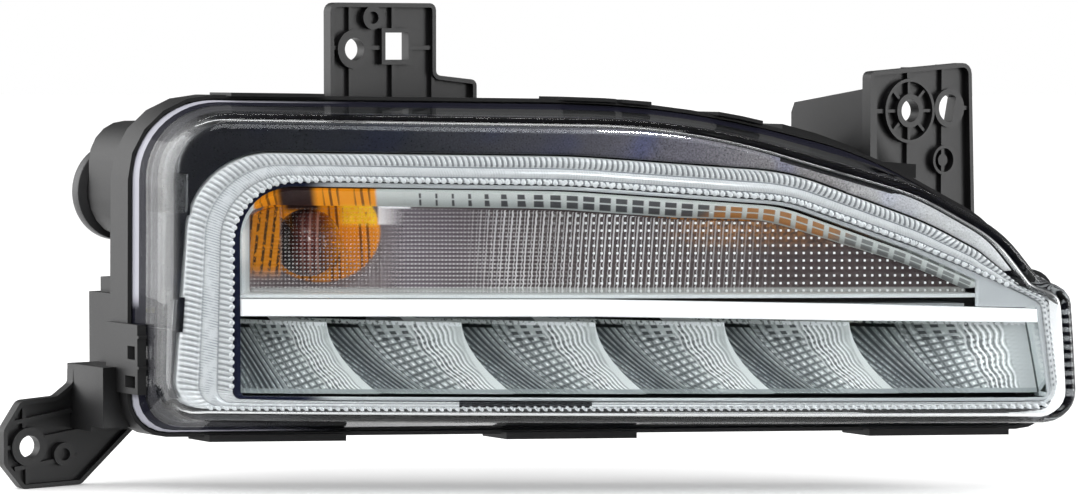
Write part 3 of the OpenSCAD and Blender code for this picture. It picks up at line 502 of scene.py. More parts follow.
CAST = grain_mat("die_cast_alloy", (0.42, 0.43, 0.44), (0.55, 0.56, 0.57), (0.35, 0.5),
                 scale=1600, bump=0.2, metallic=0.9)
STEEL = grain_mat("zinc_plated_steel", (0.5, 0.5, 0.5), (0.62, 0.62, 0.61), (0.25, 0.4), bump=0.08,
                  metallic=1.0)
PIPS = grain_mat("moulded_beads", (0.7, 0.71, 0.72), (0.86, 0.87, 0.88), (0.08, 0.18),
                 bump=0.02, metallic=0.3, coat=0.6)


def frame_mat():
    """Chrome frame painted bright with little metal as a painted reflection, dark blue at the outboard end.
    """
    m, t, b = new_mat("dark_bright_frame")
    x = place_xz(t)[0]
    fine = speckle(t, 1200.0)
    # painted reflection: the bright colour stands in for what the chrome reflects
    colour = blend(t, span(t, x, 0.11, 0.124), (0.008, 0.01, 0.03), (0.62, 0.64, 0.65))
    settle(t, b, blend(t, times(t, fine, 0.12), colour, (0.1, 0.11, 0.14)), fine, (0.1, 0.22), metallic=0.25)
    return m


def guide_mat():
    """Clear ribs over a bright backing: pale crests and grey grooves darkened with painted shade, and bands
    of painted highlight.
    u counts the ribs, and v goes across the guide from its outer to its inner edge."""
    m, t, b = new_mat("ribbed_guide")
    u, v = flow_uv(t)
    crest = wave(t, u, 1.0, 0.1, 0.75)
    fine = speckle(t, 900.0)
    x, z = place_xz(t)
    ribbed = plus(t, within(t, v, 0.06, 0.42, 0.03), within(t, v, 0.8, 0.97, 0.02))
    ribbed = times(t, ribbed, span(t, z, 0.0236, 0.0246))
    groove = times(t, inverse(t, crest), ribbed)
    colour = blend(t, fine, (0.7, 0.705, 0.705), (0.86, 0.865, 0.87))
    # painted highlights: pale bands that run along the guide
    painted_highlight_band = plus(t, within(t, v, 0.0, 0.05, 0.01), within(t, v, 0.13, 0.17, 0.015),
                  within(t, v, 0.3, 0.35, 0.015))
    colour = blend(t, times(t, painted_highlight_band, 0.7), colour, (0.85, 0.86, 0.87))
    # painted shade in the grooves, stronger inboard
    depth = span(t, x, 0.09, 0.2, 0.55, 0.8)
    colour = blend(t, times(t, groove, depth), colour, (0.15, 0.16, 0.17))
    outboard = span(t, x, 0.15, 0.1)
    lined = times(t, wave(t, u, 2.0, 0.35, 0.8), span(t, speckle(t, 260.0), 0.35, 0.6))
    lined = times(t, lined, within(t, v, 0.44, 0.8, 0.02), span(t, x, 0.15, 0.1, 0.25, 0.75))
    colour = blend(t, times(t, within(t, v, 0.5, 0.76, 0.03), outboard, 0.8), colour, (0.88, 0.89, 0.9))
    colour = blend(t, lined, colour, (0.4, 0.42, 0.44))
    border = inverse(t, times(t, outboard, 0.6))
    colour = blend(t, times(t, within(t, v, 0.43, 0.47, 0.012), border), colour, (0.25, 0.27, 0.29))
    # a real slot, painted as a black patch of shade
    slot_x, slot_z = (0.1698, 0.2207), (0.0174, 0.0212)
    opening = times(t, within(t, x, *slot_x, 0.0002), within(t, z, *slot_z, 0.0002))
    colour = blend(t, opening, colour, (0.01, 0.01, 0.012))
    colour = blend(t, times(t, within(t, v, 0.775, 0.805, 0.01), border), colour, (0.2, 0.22, 0.24))
    settle(t, b, colour, fine, (0.12, 0.22), metallic=0.25, coat=0.6)
    b.inputs["IOR"].default_value = 1.5
    return m


def cell_mat():
    """Metallised cells with painted reflections, shade and glow: curved ribs outboard, a lattice of facets in
    the middle, thin wavy lines inboard.
    u runs along the row, two units for each cell and its end wall, and w goes down the cells."""
    m, t, b = new_mat("metallised_cells")
    u, w = flow_uv(t)
    ribs, facet_cols, facet_rows, threads = 25.0, 16.0, 13.0, 31.0
    half = calc(t, "MODULO", u, 2.0)
    ridge = span(t, half, 1.0005, 1.02)
    s = calc(t, "MINIMUM", half, 1.0)
    fine = speckle(t, 700.0)
    broad = speckle(t, 160.0)
    # painted reflection: each cell darker outboard and paler inboard
    colour = blend(t, span(t, s, 0.05, 0.9), (0.15, 0.168, 0.178), (0.52, 0.555, 0.545))
    colour = blend(t, span(t, broad, 0.4, 0.65, 0.0, 0.45), colour, (0.3, 0.325, 0.325))
    # curved ribs: painted shade in their grooves and painted glints beside them
    rib_zone = span(t, s, 0.58, 0.4)
    colour = blend(t, times(t, wave(t, s, ribs, 0.5, 0.9), rib_zone, 0.85), colour, (0.02, 0.024, 0.03))
    glint = times(t, wave(t, plus(t, s, 0.018), ribs, 0.8, 1.0), rib_zone, span(t, fine, 0.4, 0.6, 0.0, 0.6))
    colour = blend(t, glint, colour, (0.75, 0.8, 0.8))
    # lattice of facets: painted dark lines and painted highlights
    slide = calc(t, "MULTIPLY_ADD", s, 0.55, w)
    facets = most(t, wave(t, s, facet_cols, 0.72, 0.96), wave(t, slide, facet_rows, 0.6, 0.9))
    mid_zone = times(t, within(t, s, 0.4, 0.82, 0.07), span(t, w, 0.1, 0.3))
    colour = blend(t, times(t, facets, mid_zone, 0.75), colour, (0.035, 0.042, 0.045))
    shine = times(t, wave(t, plus(t, s, 0.03), facet_cols, 0.7, 1.0),
                  wave(t, plus(t, slide, 0.035), facet_rows, 0.5, 1.0))
    colour = blend(t, times(t, shine, mid_zone, 0.8), colour, (0.92, 0.94, 0.93))
    # dark squares and wedges below the light sources, painted as shade
    step = times(t, wave(t, s, 14.0, 0.4, 0.6), wave(t, calc(t, "MULTIPLY_ADD", s, 0.15, w), 12.0, 0.35, 0.6))
    zone = times(t, within(t, s, 0.42, 0.74, 0.04), within(t, w, 0.0, 0.3, 0.06))
    colour = blend(t, times(t, step, zone, 0.92), colour, (0.018, 0.022, 0.025))
    # thin wavy lines: painted highlights, each with a painted shadow beside it
    bend = times(t, calc(t, "SINE", calc(t, "MULTIPLY_ADD", s, 9.0, times(t, w, 21.0))), 0.008)
    bent = plus(t, s, bend)
    wave_zone = within(t, s, 0.68, 0.93, 0.05)
    thread = wave(t, bent, threads, 0.55, 0.95)
    colour = blend(t, times(t, thread, wave_zone, 0.9), colour, (0.95, 0.96, 0.96))
    thread_shadow = wave(t, plus(t, bent, 0.015), threads, 0.75, 1.0)
    colour = blend(t, times(t, thread_shadow, wave_zone, 0.7), colour, (0.09, 0.1, 0.1))
    wedge = span(t, calc(t, "SUBTRACT", s, calc(t, "MULTIPLY_ADD", w, -0.09, 0.995)), 0.0, 0.012)
    colour = blend(t, wedge, colour, (0.66, 0.69, 0.68))
    last = times(t, span(t, u, 10.86, 10.9), span(t, s, 0.8, 0.84))
    colour = blend(t, last, colour, (0.46, 0.49, 0.49))
    # plain foot, textured head and the slot above it, the slot painted black as shade
    colour = blend(t, span(t, w, 0.925, 0.945), colour, (0.3, 0.33, 0.33))
    texture = most(t, wave(t, s, 30.0, 0.3, 0.8), span(t, fine, 0.45, 0.55))
    head = times(t, within(t, w, 0.0, 0.055, 0.01), texture)
    colour = blend(t, head, colour, (0.75, 0.77, 0.78))
    slot = times(t, within(t, s, 0.02, 0.4, 0.006), within(t, w, 0.065, 0.11, 0.008))
    colour = blend(t, slot, colour, (0.004, 0.004, 0.006))
    colour = blend(t, ridge, colour, (0.85, 0.88, 0.88))
    # the cells are no lamp: their glow is painted light
    settle(t, b, colour, fine, (0.3, 0.42), metallic=0.15, coat=0.05, painted_glow=0.1)
    return m


def tray_mat():
    """Metallised tray: a painted amber reflection round the bulb with a painted yellow highlight, a pale end
    wall and squares along its top.
    u is the place along in decimetres; v is the height in decimetres, or one to two on the sloping top."""
    m, t, b = new_mat("metallised_tray")
    u, v = flow_uv(t)
    x, z = place_xz(t)
    fine = speckle(t, 650.0)
    colour = blend(t, span(t, u, -0.4, 0.5), (0.16, 0.14, 0.15), (0.07, 0.055, 0.055))
    far = times(t, within(t, u, 0.7, 1.5, 0.1), span(t, fine, 0.45, 0.6))
    colour = blend(t, times(t, far, 0.8), colour, (0.5, 0.2, 0.03))
    # painted amber reflection of the bulb: distance from the middle of the amber oval, whose edge lies at one
    oval_x, oval_z, oval_wide, oval_high = 0.1138, 0.0838, 0.0238, 0.0195
    du = calc(t, "MULTIPLY_ADD", x, 1 / oval_wide, -oval_x / oval_wide)
    dv = calc(t, "MULTIPLY_ADD", z, 1 / oval_high, -oval_z / oval_high)
    away = calc(t, "SQRT", plus(t, times(t, du, du), times(t, dv, dv)))
    slide = calc(t, "MULTIPLY_ADD", dv, 0.0012, x)
    stripe = times(t, wave(t, slide, 330.0, 0.5, 0.95), span(t, wave(t, x, 83.0), 0.25, 0.7))
    amber = blend(t, span(t, z, 0.068, 0.09), (0.5, 0.19, 0.03), (0.84, 0.3, 0.012))
    amber = blend(t, times(t, stripe, 0.85), amber, (0.1, 0.03, 0.008))
    # painted yellow highlight beside the bulb
    painted_yellow_highlight = times(t, within(t, x, 0.1228, 0.1375, 0.002), within(t, z, 0.0865, 0.0945, 0.0015))
    amber = blend(t, times(t, painted_yellow_highlight, span(t, fine, 0.3, 0.5, 0.5, 1.0)), amber, (1.0, 0.62, 0.03))
    dark = times(t, within(t, x, 0.101, 0.121, 0.001), within(t, z, 0.07, 0.0785, 0.001))
    amber = blend(t, dark, amber, (0.02, 0.012, 0.01))
    shadow = times(t, within(t, x, 0.1, 0.114, 0.002), span(t, z, 0.09, 0.093))
    amber = blend(t, shadow, amber, (0.02, 0.01, 0.01))
    near = span(t, away, 1.06, 1.0)
    colour = blend(t, near, colour, amber)
    block = times(t, within(t, x, 0.1375, 0.1502, 0.0006), span(t, z, 0.0862, 0.0872))
    colour = blend(t, block, colour, (0.9, 0.9, 0.93))
    wall = blend(t, wave(t, v, 4.0), (0.42, 0.45, 0.46), (0.6, 0.63, 0.63))
    colour = blend(t, span(t, u, -0.895, -0.9), colour, wall)
    colour = blend(t, span(t, v, -0.1865, -0.189), colour, (0.45, 0.47, 0.47))
    end = span(t, x, 0.0915, 0.0905)
    # top wall: its columns stand upright
    shade = blend(t, span(t, v, 1.0, 2.0), (0.36, 0.39, 0.38), (0.6, 0.63, 0.61))
    pitch, first = 0.0063, 0.2039
    col = calc(t, "FRACT", calc(t, "MULTIPLY_ADD", x, 1 / pitch, 100 - first / pitch))
    full = span(t, u, -0.25, 0.3, 0.3, 0.86)
    squares = times(t, span(t, col, 0.1, 0.16), span(t, calc(t, "SUBTRACT", full, col), 0.0, 0.08))
    squares = times(t, squares, plus(t, within(t, v, 1.1, 1.5, 0.02), within(t, v, 1.6, 1.92, 0.02)))
    squares = times(t, squares, span(t, x, 0.148, 0.152))
    shade = blend(t, times(t, squares, span(t, u, 0.6, 1.3, 0.93, 0.65)), shade, (0.03, 0.03, 0.035))
    tint = times(t, within(t, u, 0.8, 1.3, 0.05), squares)
    shade = blend(t, times(t, tint, 0.75), shade, (0.42, 0.17, 0.03))
    shade = blend(t, span(t, x, 0.1385, 0.137), shade, amber)
    colour = blend(t, span(t, v, 0.9, 0.95), colour, blend(t, end, shade, wall))
    # the tray is no lamp: its glow is painted light
    settle(t, b, colour, fine, (0.3, 0.42), metallic=0.1, coat=0.05, painted_glow=0.42)
    return m


def inner_mat():
    """Lens with a fine grid outboard, upright lines in its middle painted for the reflector's facet edges
    seen through it, painted highlight pips on its pillows inboard, a painted amber reflection over the bulb
    and painted light given off.
    u and v are the places along and up in decimetres."""
    m, t, b = new_mat("pillow_lens")
    u, v = flow_uv(t)
    x, z = place_xz(t)
    fine = speckle(t, 600.0)
    colour = blend(t, span(t, u, -0.4, 0.2), (0.12, 0.1, 0.115), (0.06, 0.045, 0.045))
    warm = times(t, within(t, u, 0.7, 1.3, 0.15), span(t, v, -0.05, 0.08))
    colour = blend(t, times(t, warm, span(t, fine, 0.35, 0.65, 0.1, 0.7)), colour, (0.36, 0.15, 0.03))
    lean = calc(t, "MULTIPLY_ADD", v, -0.08, u)
    dash = times(t, wave(t, u, 69.0, 0.35, 0.8), wave(t, v, 66.0, 0.5, 0.85))
    rows = times(t, wave(t, v, 66.0, 0.55, 0.9), 0.45)
    left = span(t, u, 0.35, 0.0)
    grid = times(t, most(t, dash, rows), left, span(t, v, 0.14, -0.1, 0.35, 0.8))
    colour = blend(t, grid, colour, (0.6, 0.57, 0.56))
    pitch = 100 / PILLOW_WIDE
    # pale upright lines painted for the reflector's facet edges seen through the lens
    beside = wave(t, plus(t, lean, 0.012), pitch, 0.92, 1.0)
    thin = most(t, wave(t, lean, pitch, 0.86, 0.97), times(t, beside, 0.6))
    up_lines = times(t, thin, within(t, u, -0.06, 1.0, 0.12), span(t, u, 1.1, 0.3, 0.3, 0.9))
    colour = blend(t, up_lines, colour, (0.62, 0.6, 0.6))
    # painted highlights: a bright pip on each pillow
    dot_u = wave(t, plus(t, u, PILLOW_WIDE / 200), pitch)
    dot_v = wave(t, plus(t, v, (PILLOW_HIGH / 2 - PILLOW_START) / 100), 100 / PILLOW_HIGH)
    painted_highlight_dots = span(t, times(t, dot_u, dot_v), 0.8, 0.95)
    painted_highlight_dots = times(t, painted_highlight_dots, span(t, u, 0.1, 0.45))
    colour = blend(t, painted_highlight_dots, colour, (0.95, 0.95, 0.95))
    # painted amber reflection of the bulb's dish, seen through the lens outboard
    outboard = times(t, span(t, x, 0.1017, 0.1), span(t, z, 0.0645, 0.072))
    stripe = times(t, wave(t, calc(t, "MULTIPLY_ADD", z, -0.12, x), 330.0, 0.45, 0.9),
                   span(t, fine, 0.35, 0.5))
    amber = blend(t, times(t, stripe, 0.9), (0.5, 0.18, 0.012), (0.03, 0.014, 0.008))
    colour = blend(t, outboard, colour, amber)
    foot = span(t, v, -0.163, -0.172)
    colour = blend(t, times(t, foot, 0.6), colour, (0.42, 0.43, 0.41))
    # the lens is no lamp: its glow is painted light
    settle(t, b, colour, fine, (0.2, 0.3), painted_glow=0.12)
    b.inputs["Specular IOR Level"].default_value = 0.15
    clear = node(t, "ShaderNodeBsdfTransparent", {"Color": (0.98, 0.97, 0.96, 1)})
    over_bulb = times(t, dash, span(t, v, 0.1, -0.1, 0.1, 0.45))
    inboard = span(t, x, 0.137, 0.152, 0.0, 0.88)
    solid = most(t, inboard, over_bulb, times(t, outboard, 0.8), times(t, foot, 0.55))
    shadow = node(t, "ShaderNodeLightPath").outputs["Is Shadow Ray"]
    fac = times(t, solid, inverse(t, shadow))
    seen = node(t, "ShaderNodeMixShader", {0: fac, 1: clear.outputs[0], 2: b.outputs[0]})
    t.links.new(seen.outputs[0], t.nodes["Material Output"].inputs["Surface"])
    return m


def bulb_mat():
    """Coated amber glass: nearly black across most of its width, with a painted orange highlight towards its
    inboard side.
    """
    m, t, b = new_mat("coated_amber_glass")
    x = place_xz(t)[0]
    fine = speckle(t, 500.0)
    wide, middle = 0.0264, 0.11007
    across = calc(t, "MULTIPLY_ADD", x, 1 / wide, 0.5 - middle / wide)
    # painted highlight: the ramp turns orange towards the inboard edge
    stops = ((0.0, (0.02, 0.008, 0.006)), (0.3, (0.015, 0.008, 0.008)), (0.46, (0.09, 0.025, 0.022)),
             (0.6, (0.12, 0.035, 0.03)), (0.74, (0.07, 0.02, 0.015)), (0.9, (0.3, 0.09, 0.01)),
             (1.0, (0.55, 0.2, 0.02)))
    glass = colour_ramp(t, calc(t, "MULTIPLY_ADD", fine, 0.06, across), stops)
    stripe = times(t, wave(t, across, 9.0, 0.6, 0.95), within(t, across, 0.45, 0.72, 0.05))
    settle(t, b, blend(t, times(t, stripe, 0.5), glass, (0.5, 0.28, 0.24)), fine, (0.12, 0.2), coat=0.15)
    return m


LENS = lens_mat()
FRAME = frame_mat()
GUIDE = guide_mat()
CELLS = cell_mat()
TRAY = tray_mat()
INNER = inner_mat()
BULB = bulb_mat()

# Pieces taken over from the solids: some with softened edges, the others with a material only
SOFT_ANGLE = 28


def dress(name, mat, bevel=0.0004):
    """A solid with its flat faces joined and its edges sharper than SOFT_ANGLE rounded."""
    me = bpy.data.meshes.new(name + "_dressed")
    bm = bmesh.new()
    bm.from_mesh(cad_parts[name].data)
    bmesh.ops.remove_doubles(bm, verts=bm.verts, dist=2e-6)
    bmesh.ops.dissolve_limit(bm, angle_limit=radians(0.6), verts=bm.verts, edges=bm.edges)
    bmesh.ops.recalc_face_normals(bm, faces=bm.faces)
    bm.to_mesh(me)
    bm.free()
    ob = add_object("dressed", me)
    mod = ob.modifiers.new("edges", "BEVEL")
    mod.width = bevel
    mod.segments = 2
    mod.limit_method = "ANGLE"
    mod.angle_limit = radians(SOFT_ANGLE)
    mod.miter_outer = "MITER_ARC"
    finish_mesh(name + "_body", baked_mesh(ob), mat, SOFT_ANGLE + 12, (name,))


dress("rear_housing", HOUSING)
dress("turret_cap", CAP, bevel=0.0008)
dress("bulb_holder", HOLDER, bevel=0.0005)
dress("lamp_connector", HOLDER)
dress("vent_cap", CAP)
dress("heat_sink", CAST)
dress("heat_sink_screws", STEEL, bevel=0.0003)
for name, mat in (("lens_seal", BLACK_SEAL), ("led_board", BOARD), ("leds", LED), ("guide_board", OLIVE),
                  ("guide_led", LED), ("bulb_glass", BULB), ("bulb_base", BRASS), ("bulb_contact", BRASS),
                  ("holder_seal", RED_SEAL), ("cap_seal", RED_SEAL), ("heat_sink_seal", BLACK_SEAL),
                  ("connector_pins", BRASS)):
    wear(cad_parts[name].data, mat)


# Forms that stand in for the solids of the front
def plate(name, loops, y0, y1, mat, replaces, bevel, round_steps=2):
    """A bowed plate between two depths with rounded edges; the loops after the first are its holes."""
    curve = bpy.data.curves.new(name, "CURVE")
    curve.dimensions = "2D"
    curve.fill_mode = "BOTH"
    curve.extrude = (y1 - y0) / 2 - bevel
    curve.bevel_depth = bevel
    curve.bevel_resolution = round_steps
    curve.offset = -bevel
    for loop in loops:
        spline = curve.splines.new("POLY")
        spline.points.add(len(loop) - 1)
        for point, (x, z) in zip(spline.points, loop):
            point.co = (x, z, 0, 1)
        spline.use_cyclic_u = True
    me = baked_mesh(add_object(name + "_curve", curve))
    bm = bmesh.new()
    bm.from_mesh(me)
    bmesh.ops.remove_doubles(bm, verts=bm.verts, dist=0.002)
    # cuts across the flat plate let it follow the bow
    cut_step = 12
    left = min(v.co.x for v in bm.verts)
    right = max(v.co.x for v in bm.verts)
    for q in range(1, math.ceil((right - left) / cut_step)):
        bmesh.ops.bisect_plane(bm, geom=bm.verts[:] + bm.edges[:] + bm.faces[:], dist=1e-4,
                               plane_co=(left + q * cut_step, 0, 0), plane_no=(1, 0, 0))
    for v in bm.verts:
        x, z, forward = v.co
        v.co = at(x, z, bow(x, (y0 + y1) / 2 - forward))
    bm.to_mesh(me)
    bm.free()
    finish_mesh(name, me, mat, 35, replaces)


def field(name, rows, cols, front, back, mat, slot, replaces, smooth, flow):
    """A closed sheet from functions of row and column: its front, its back and its flow values."""
    spots = [(i, j) for i in range(rows) for j in range(cols)]
    verts = [front(*spot) for spot in spots] + [back(*spot) for spot in spots]
    base = rows * cols
    faces = []
    for i in range(rows - 1):
        for j in range(cols - 1):
            a = i * cols + j
            faces.append((a, a + cols, a + cols + 1, a + 1))
            faces.append((base + a, base + a + 1, base + a + cols + 1, base + a + cols))
    for j in range(cols - 1):
        a = (rows - 1) * cols + j
        faces.append((j, j + 1, base + j + 1, base + j))
        faces.append((a + 1, a, base + a, base + a + 1))
    for i in range(rows - 1):
        a = i * cols
        faces.append((a + cols, a, base + a, base + a + cols))
        a += cols - 1
        faces.append((a, a + cols, base + a + cols, base + a))
    piece(name, verts, faces, mat, slot, smooth, replaces, [flow(*spot) for spot in spots] * 2)


# Outer lens
LENS_THICK = 2.8
FACE_HEART = (30, BOW_LEVEL)
FACE_SHARES = (0.15, 0.3, 0.45, 0.6, 0.72, 0.82, 0.9)
EDGE_Y, INNER_EDGE_Y = 5.5, 6.9
SKIRT_Y, RIM_Y, FOOT_Y = 26, 32.6, 33
FOOT_IN = LENS_THICK + 0.2
OFF_SKIRT = -1
foot_line, face_line = pair(FOOT, FACE, 4.0)


def face_ring(share, y0):
    """The face's outline shrunk towards the heart of the face."""
    return [on_face(*mix(FACE_HEART, p, share), y0) for p in face_line]


def edge_ring(d, y0):
    return [on_face(*p, y0) for p in inset(face_line, d)]


def foot_ring(d, y):
    return [at(*p, y) for p in inset(foot_line, d)]


def between(first, second, share):
    return [Vector(a).lerp(Vector(b), share) for a, b in zip(first, second)]


# each ring is its points and how far down the skirt it lies, nought at the face and one at the foot
rings = [(face_ring(share, 0), OFF_SKIRT) for share in FACE_SHARES]
for d, y in ((4.6, 0.05), (3.2, 0.3), (2.1, 0.8), (1.2, 1.6), (0.55, 2.7), (0.15, 4.0)):
    rings.append((edge_ring(d, y), OFF_SKIRT))
rings.append((edge_ring(0, EDGE_Y), 0.0))
outer_skirt = edge_ring(0, EDGE_Y), foot_ring(0.1, SKIRT_Y)
for share in (0.1, 0.25, 0.4, 0.5, 0.65, 0.8, 0.97):
    rings.append((between(*outer_skirt, share), 0.78 * share))
rings += [(foot_ring(0.1, SKIRT_Y), 0.8), (foot_ring(0.1, RIM_Y), 1.0)]
for d, y in ((0.5, FOOT_Y), (FOOT_IN - 0.4, FOOT_Y), (FOOT_IN, RIM_Y), (FOOT_IN, SKIRT_Y)):
    rings.append((foot_ring(d, y), OFF_SKIRT))
inner_skirt = foot_ring(FOOT_IN, SKIRT_Y), edge_ring(LENS_THICK, INNER_EDGE_Y)
for share in (0.3, 0.6):
    rings.append((between(*inner_skirt, share), OFF_SKIRT))
for d, y in ((0, INNER_EDGE_Y), (0.3, 5.4), (0.9, 4.2), (1.9, 3.4), (3.4, 2.95)):
    rings.append((edge_ring(LENS_THICK + d, y), OFF_SKIRT))
rings += [(face_ring(share, LENS_THICK), OFF_SKIRT) for share in reversed(FACE_SHARES)]
hearts = on_face(*FACE_HEART, 0), on_face(*FACE_HEART, LENS_THICK)
verts, faces = loft([points for points, down in rings], *hearts)
rim_rib = 3.0
flow = [(along / rim_rib, down) for points, down in rings for along in travelled(face_line)[:-1]]
piece("clear_outer_lens", verts, faces, LENS, "clear", 50, ("outer_lens",), flow + [(0, OFF_SKIRT)] * 2)

# Bezel round the light guide
BAND_FRONT, BAND_BACK, WALL_BACK = 9.5, 11.5, 29.0
WALL_FRONT = BAND_BACK - 0.3


def arch(p, keep):
    """The part of a closed outline for which keep holds, as one open run."""
    n = len(p)
    start = next(i for i in range(n) if keep(*p[i]) and not keep(*p[i - 1]))
    out = []
    for i in range(n):
        q = p[(start + i) % n]
        if not keep(*q):
            break
        out.append(q)
    return out


inner_run = arch(inset(pair(GUIDE_OUT, GUIDE_IN, 1.0)[0], -0.35), lambda x, z: x < 191 and z > -59.5)
top_run = arch(inset(outline(FACE, 16, 12), 2.4), lambda x, z: -112 < x < 194 and z > -14)
corner = corner_arc((60, 48), (-128.6, 47.7, 19), (-128.3, 0), 14)
steps = [(-128.3, 27.2), (-125.4, 27.2), (-125.6, 12.6), (-133.0, 12.6), (-134.0, -3.9), (-134.6, -17.4),
         (-131.4, -17.6), (-131.4, -20.9), (-127.6, -20.9), (-128.4, -32.4), (-132.2, -32.4), (-132.8, -59.5)]
outer_run = top_run + corner + steps
bezel_loop = outer_run + inner_run[::-1]
plate("bezel_band", [bezel_loop], BAND_FRONT, BAND_BACK, BEZEL, ("bezel",), 0.95)
n = len(outer_run)
wall_out, wall_in = inset(bezel_loop, 0.25)[:n], inset(bezel_loop, 1.5)[:n]
verts = [at(x, z, bow(x, WALL_FRONT)) for x, z in wall_out]
verts += [at(x, z, WALL_BACK) for x, z in wall_out + wall_in]
verts += [at(x, z, bow(x, WALL_FRONT)) for x, z in wall_in]
faces = [(a * n + i, a * n + i + 1, (a + 1) % 4 * n + i + 1, (a + 1) % 4 * n + i)
         for a in range(4) for i in range(n - 1)]
faces += [tuple(a * n + i for a in range(4)) for i in (0, n - 1)]
piece("bezel_return_wall", verts, faces, DARK_TRIM, "bezel", 40, ("bezel",))

# Light guide: ribbed outer and inner parts with a smooth ridge between them
GUIDE_THICK, GUIDE_Y, RIB_PITCH = 5.0, 9.4, 2.1
guide_out, guide_in = pair(GUIDE_OUT, GUIDE_IN, 0.42)
along = travelled([mix(a, b, 0.3) for a, b in zip(guide_out, guide_in)])
rib_pitch = along[-1] / round(along[-1] / RIB_PITCH)


def guide_row(t, y, rib, scallop):
    """One row round the guide at the share t across it; its crests come forward by rib and in by scallop."""
    row = []
    for run, a, b in zip(along, guide_out, guide_in):
        crest = 0.5 + 0.5 * cos(2 * pi * run / rib_pitch)
        across = t + scallop * crest / max(4.0, math.dist(a, b))
        if t > 0.9:
            across += 0.12 * outboard_share(b[0])
        x, z = mix(a, b, across)
        row.append(at(x, z, bow(x, GUIDE_Y + y - rib * crest)))
    return row


# share across the guide, depth, height of the ribs, scallop
GUIDE_ROWS = [(0.015, GUIDE_THICK, 0, 0), (0.02, 1.6, 0, 0), (0.05, 0.9, 0.1, 0), (0.10, 0.65, 0.55, 0),
              (0.2, 0.45, 0.6, 0), (0.33, 0.5, 0.55, 0), (0.42, 0.8, 0.1, 0), (0.47, 0.75, 0, 0),
              (0.55, 0.3, 0, 0), (0.65, 0.2, 0, 0), (0.74, 0.35, 0, 0), (0.79, 0.8, 0, 0),
              (0.83, 0.8, 0.2, 0), (0.88, 0.6, 0.55, 0), (0.94, 0.75, 0.5, 0.15), (0.975, 1.3, 0.1, 0.15),
              (0.98, GUIDE_THICK, 0, 0)]
verts, faces = loft([guide_row(*row) for row in GUIDE_ROWS], ring=True)
flow = [(run / rib_pitch, row[0]) for row in GUIDE_ROWS for run in along[:-1]]
piece("ribbed_light_guide", verts, faces, GUIDE, "guide", 60, ("light_guide",), flow)

# Beads along the guide
BEAD_PITCH = 3.05


def bead_tree():
    """Leaning beads on a path, turned with it and facing forward; and the identifiers of the inputs."""
    g = bpy.data.node_groups.new("beads_along_path", "GeometryNodeTree")
    made = {}
    for name, kind in (("Geometry", "NodeSocketGeometry"), ("Pitch", "NodeSocketFloat"),
                       ("Half Size", "NodeSocketVector"), ("Lean", "NodeSocketFloat"),
                       ("Material", "NodeSocketMaterial")):
        made[name] = g.interface.new_socket(name=name, in_out="INPUT", socket_type=kind).identifier
    g.interface.new_socket(name="Geometry", in_out="OUTPUT", socket_type="NodeSocketGeometry")
    given = g.nodes.new("NodeGroupInput").outputs
    result = g.nodes.new("NodeGroupOutput")
    curve = node(g, "GeometryNodeMeshToCurve", {"Mesh": given["Geometry"]})
    points = node(g, "GeometryNodeCurveToPoints", {"Curve": curve.outputs[0], "Length": given["Pitch"]},
                  mode="LENGTH")
    run = node(g, "FunctionNodeAlignRotationToVector", {"Vector": points.outputs["Tangent"]}, axis="X")
    face = node(g, "FunctionNodeAlignRotationToVector", {"Rotation": run.outputs[0], "Vector": (0, -1, 0)},
                axis="Z", pivot_axis="X")
    lean = node(g, "ShaderNodeCombineXYZ", {"Z": given["Lean"]})
    turn = node(g, "FunctionNodeEulerToRotation", {0: lean.outputs[0]})
    bead = node(g, "GeometryNodeMeshUVSphere", {"Segments": 10, "Rings": 6, "Radius": 1.0})
    shaped = node(g, "GeometryNodeTransform", {"Geometry": bead.outputs[0], "Scale": given["Half Size"]})
    leant = node(g, "GeometryNodeTransform", {"Geometry": shaped.outputs[0], "Rotation": turn.outputs[0]})
    put = node(g, "GeometryNodeInstanceOnPoints", {"Points": points.outputs["Points"],
                                                   "Instance": leant.outputs[0],
                                                   "Rotation": face.outputs[0]})
    real = node(g, "GeometryNodeRealizeInstances", {0: put.outputs[0]})
    smooth = node(g, "GeometryNodeSetShadeSmooth", {0: real.outputs[0]})
    last = node(g, "GeometryNodeSetMaterial", {"Geometry": smooth.outputs[0], "Material": given["Material"]})
    feed(g, result, {0: last.outputs[0]})
    return g, made


BEADS, BEAD_IN = bead_tree()


def guide_path(keep, y, t, t_left):
    """Points y deep along the guide, at the share t across it, or t_left at its outboard end."""
    out = []
    for a, b in list(zip(guide_out, guide_in))[::3]:
        x, z = mix(a, b, lerp(t, t_left, outboard_share(b[0])))
        if keep(x, z):
            out.append(at(x, z, bow(x, GUIDE_Y + y)))
    widest = max(range(len(out)), key=lambda q: (out[q] - out[q - 1]).length)
    return out[widest:] + out[:widest]


def beads(name, path, half, lean):
    """A row of beads along an open path; half sizes run along, across and up from it."""
    me = bpy.data.meshes.new(name + "_path")
    me.from_pydata([tuple(q) for q in path], [(q, q + 1) for q in range(len(path) - 1)], [])
    ob = add_object(name + "_path", me)
    mod = ob.modifiers.new("beads", "NODES")
    mod.node_group = BEADS
    for key, value in (("Pitch", BEAD_PITCH / 1000), ("Half Size", [h / 1000 for h in half]),
                       ("Lean", radians(lean)), ("Material", PIPS)):
        mod[BEAD_IN[key]] = value
    finish_mesh(name, baked_mesh(ob), PIPS, 60, ("light_guide",))


inner_path = guide_path(lambda x, z: z > -55 and x < 192, 0.7, 0.93, 1.06)
beads("guide_inner_beads", inner_path, (1.05, 1.15, 0.7), 28)
rope_path = guide_path(lambda x, z: z < -58 and -118 < x < 207, -0.1, 0.22, 0.22)
beads("guide_rope_beads", rope_path, (0.95, 1.75, 0.8), 35)

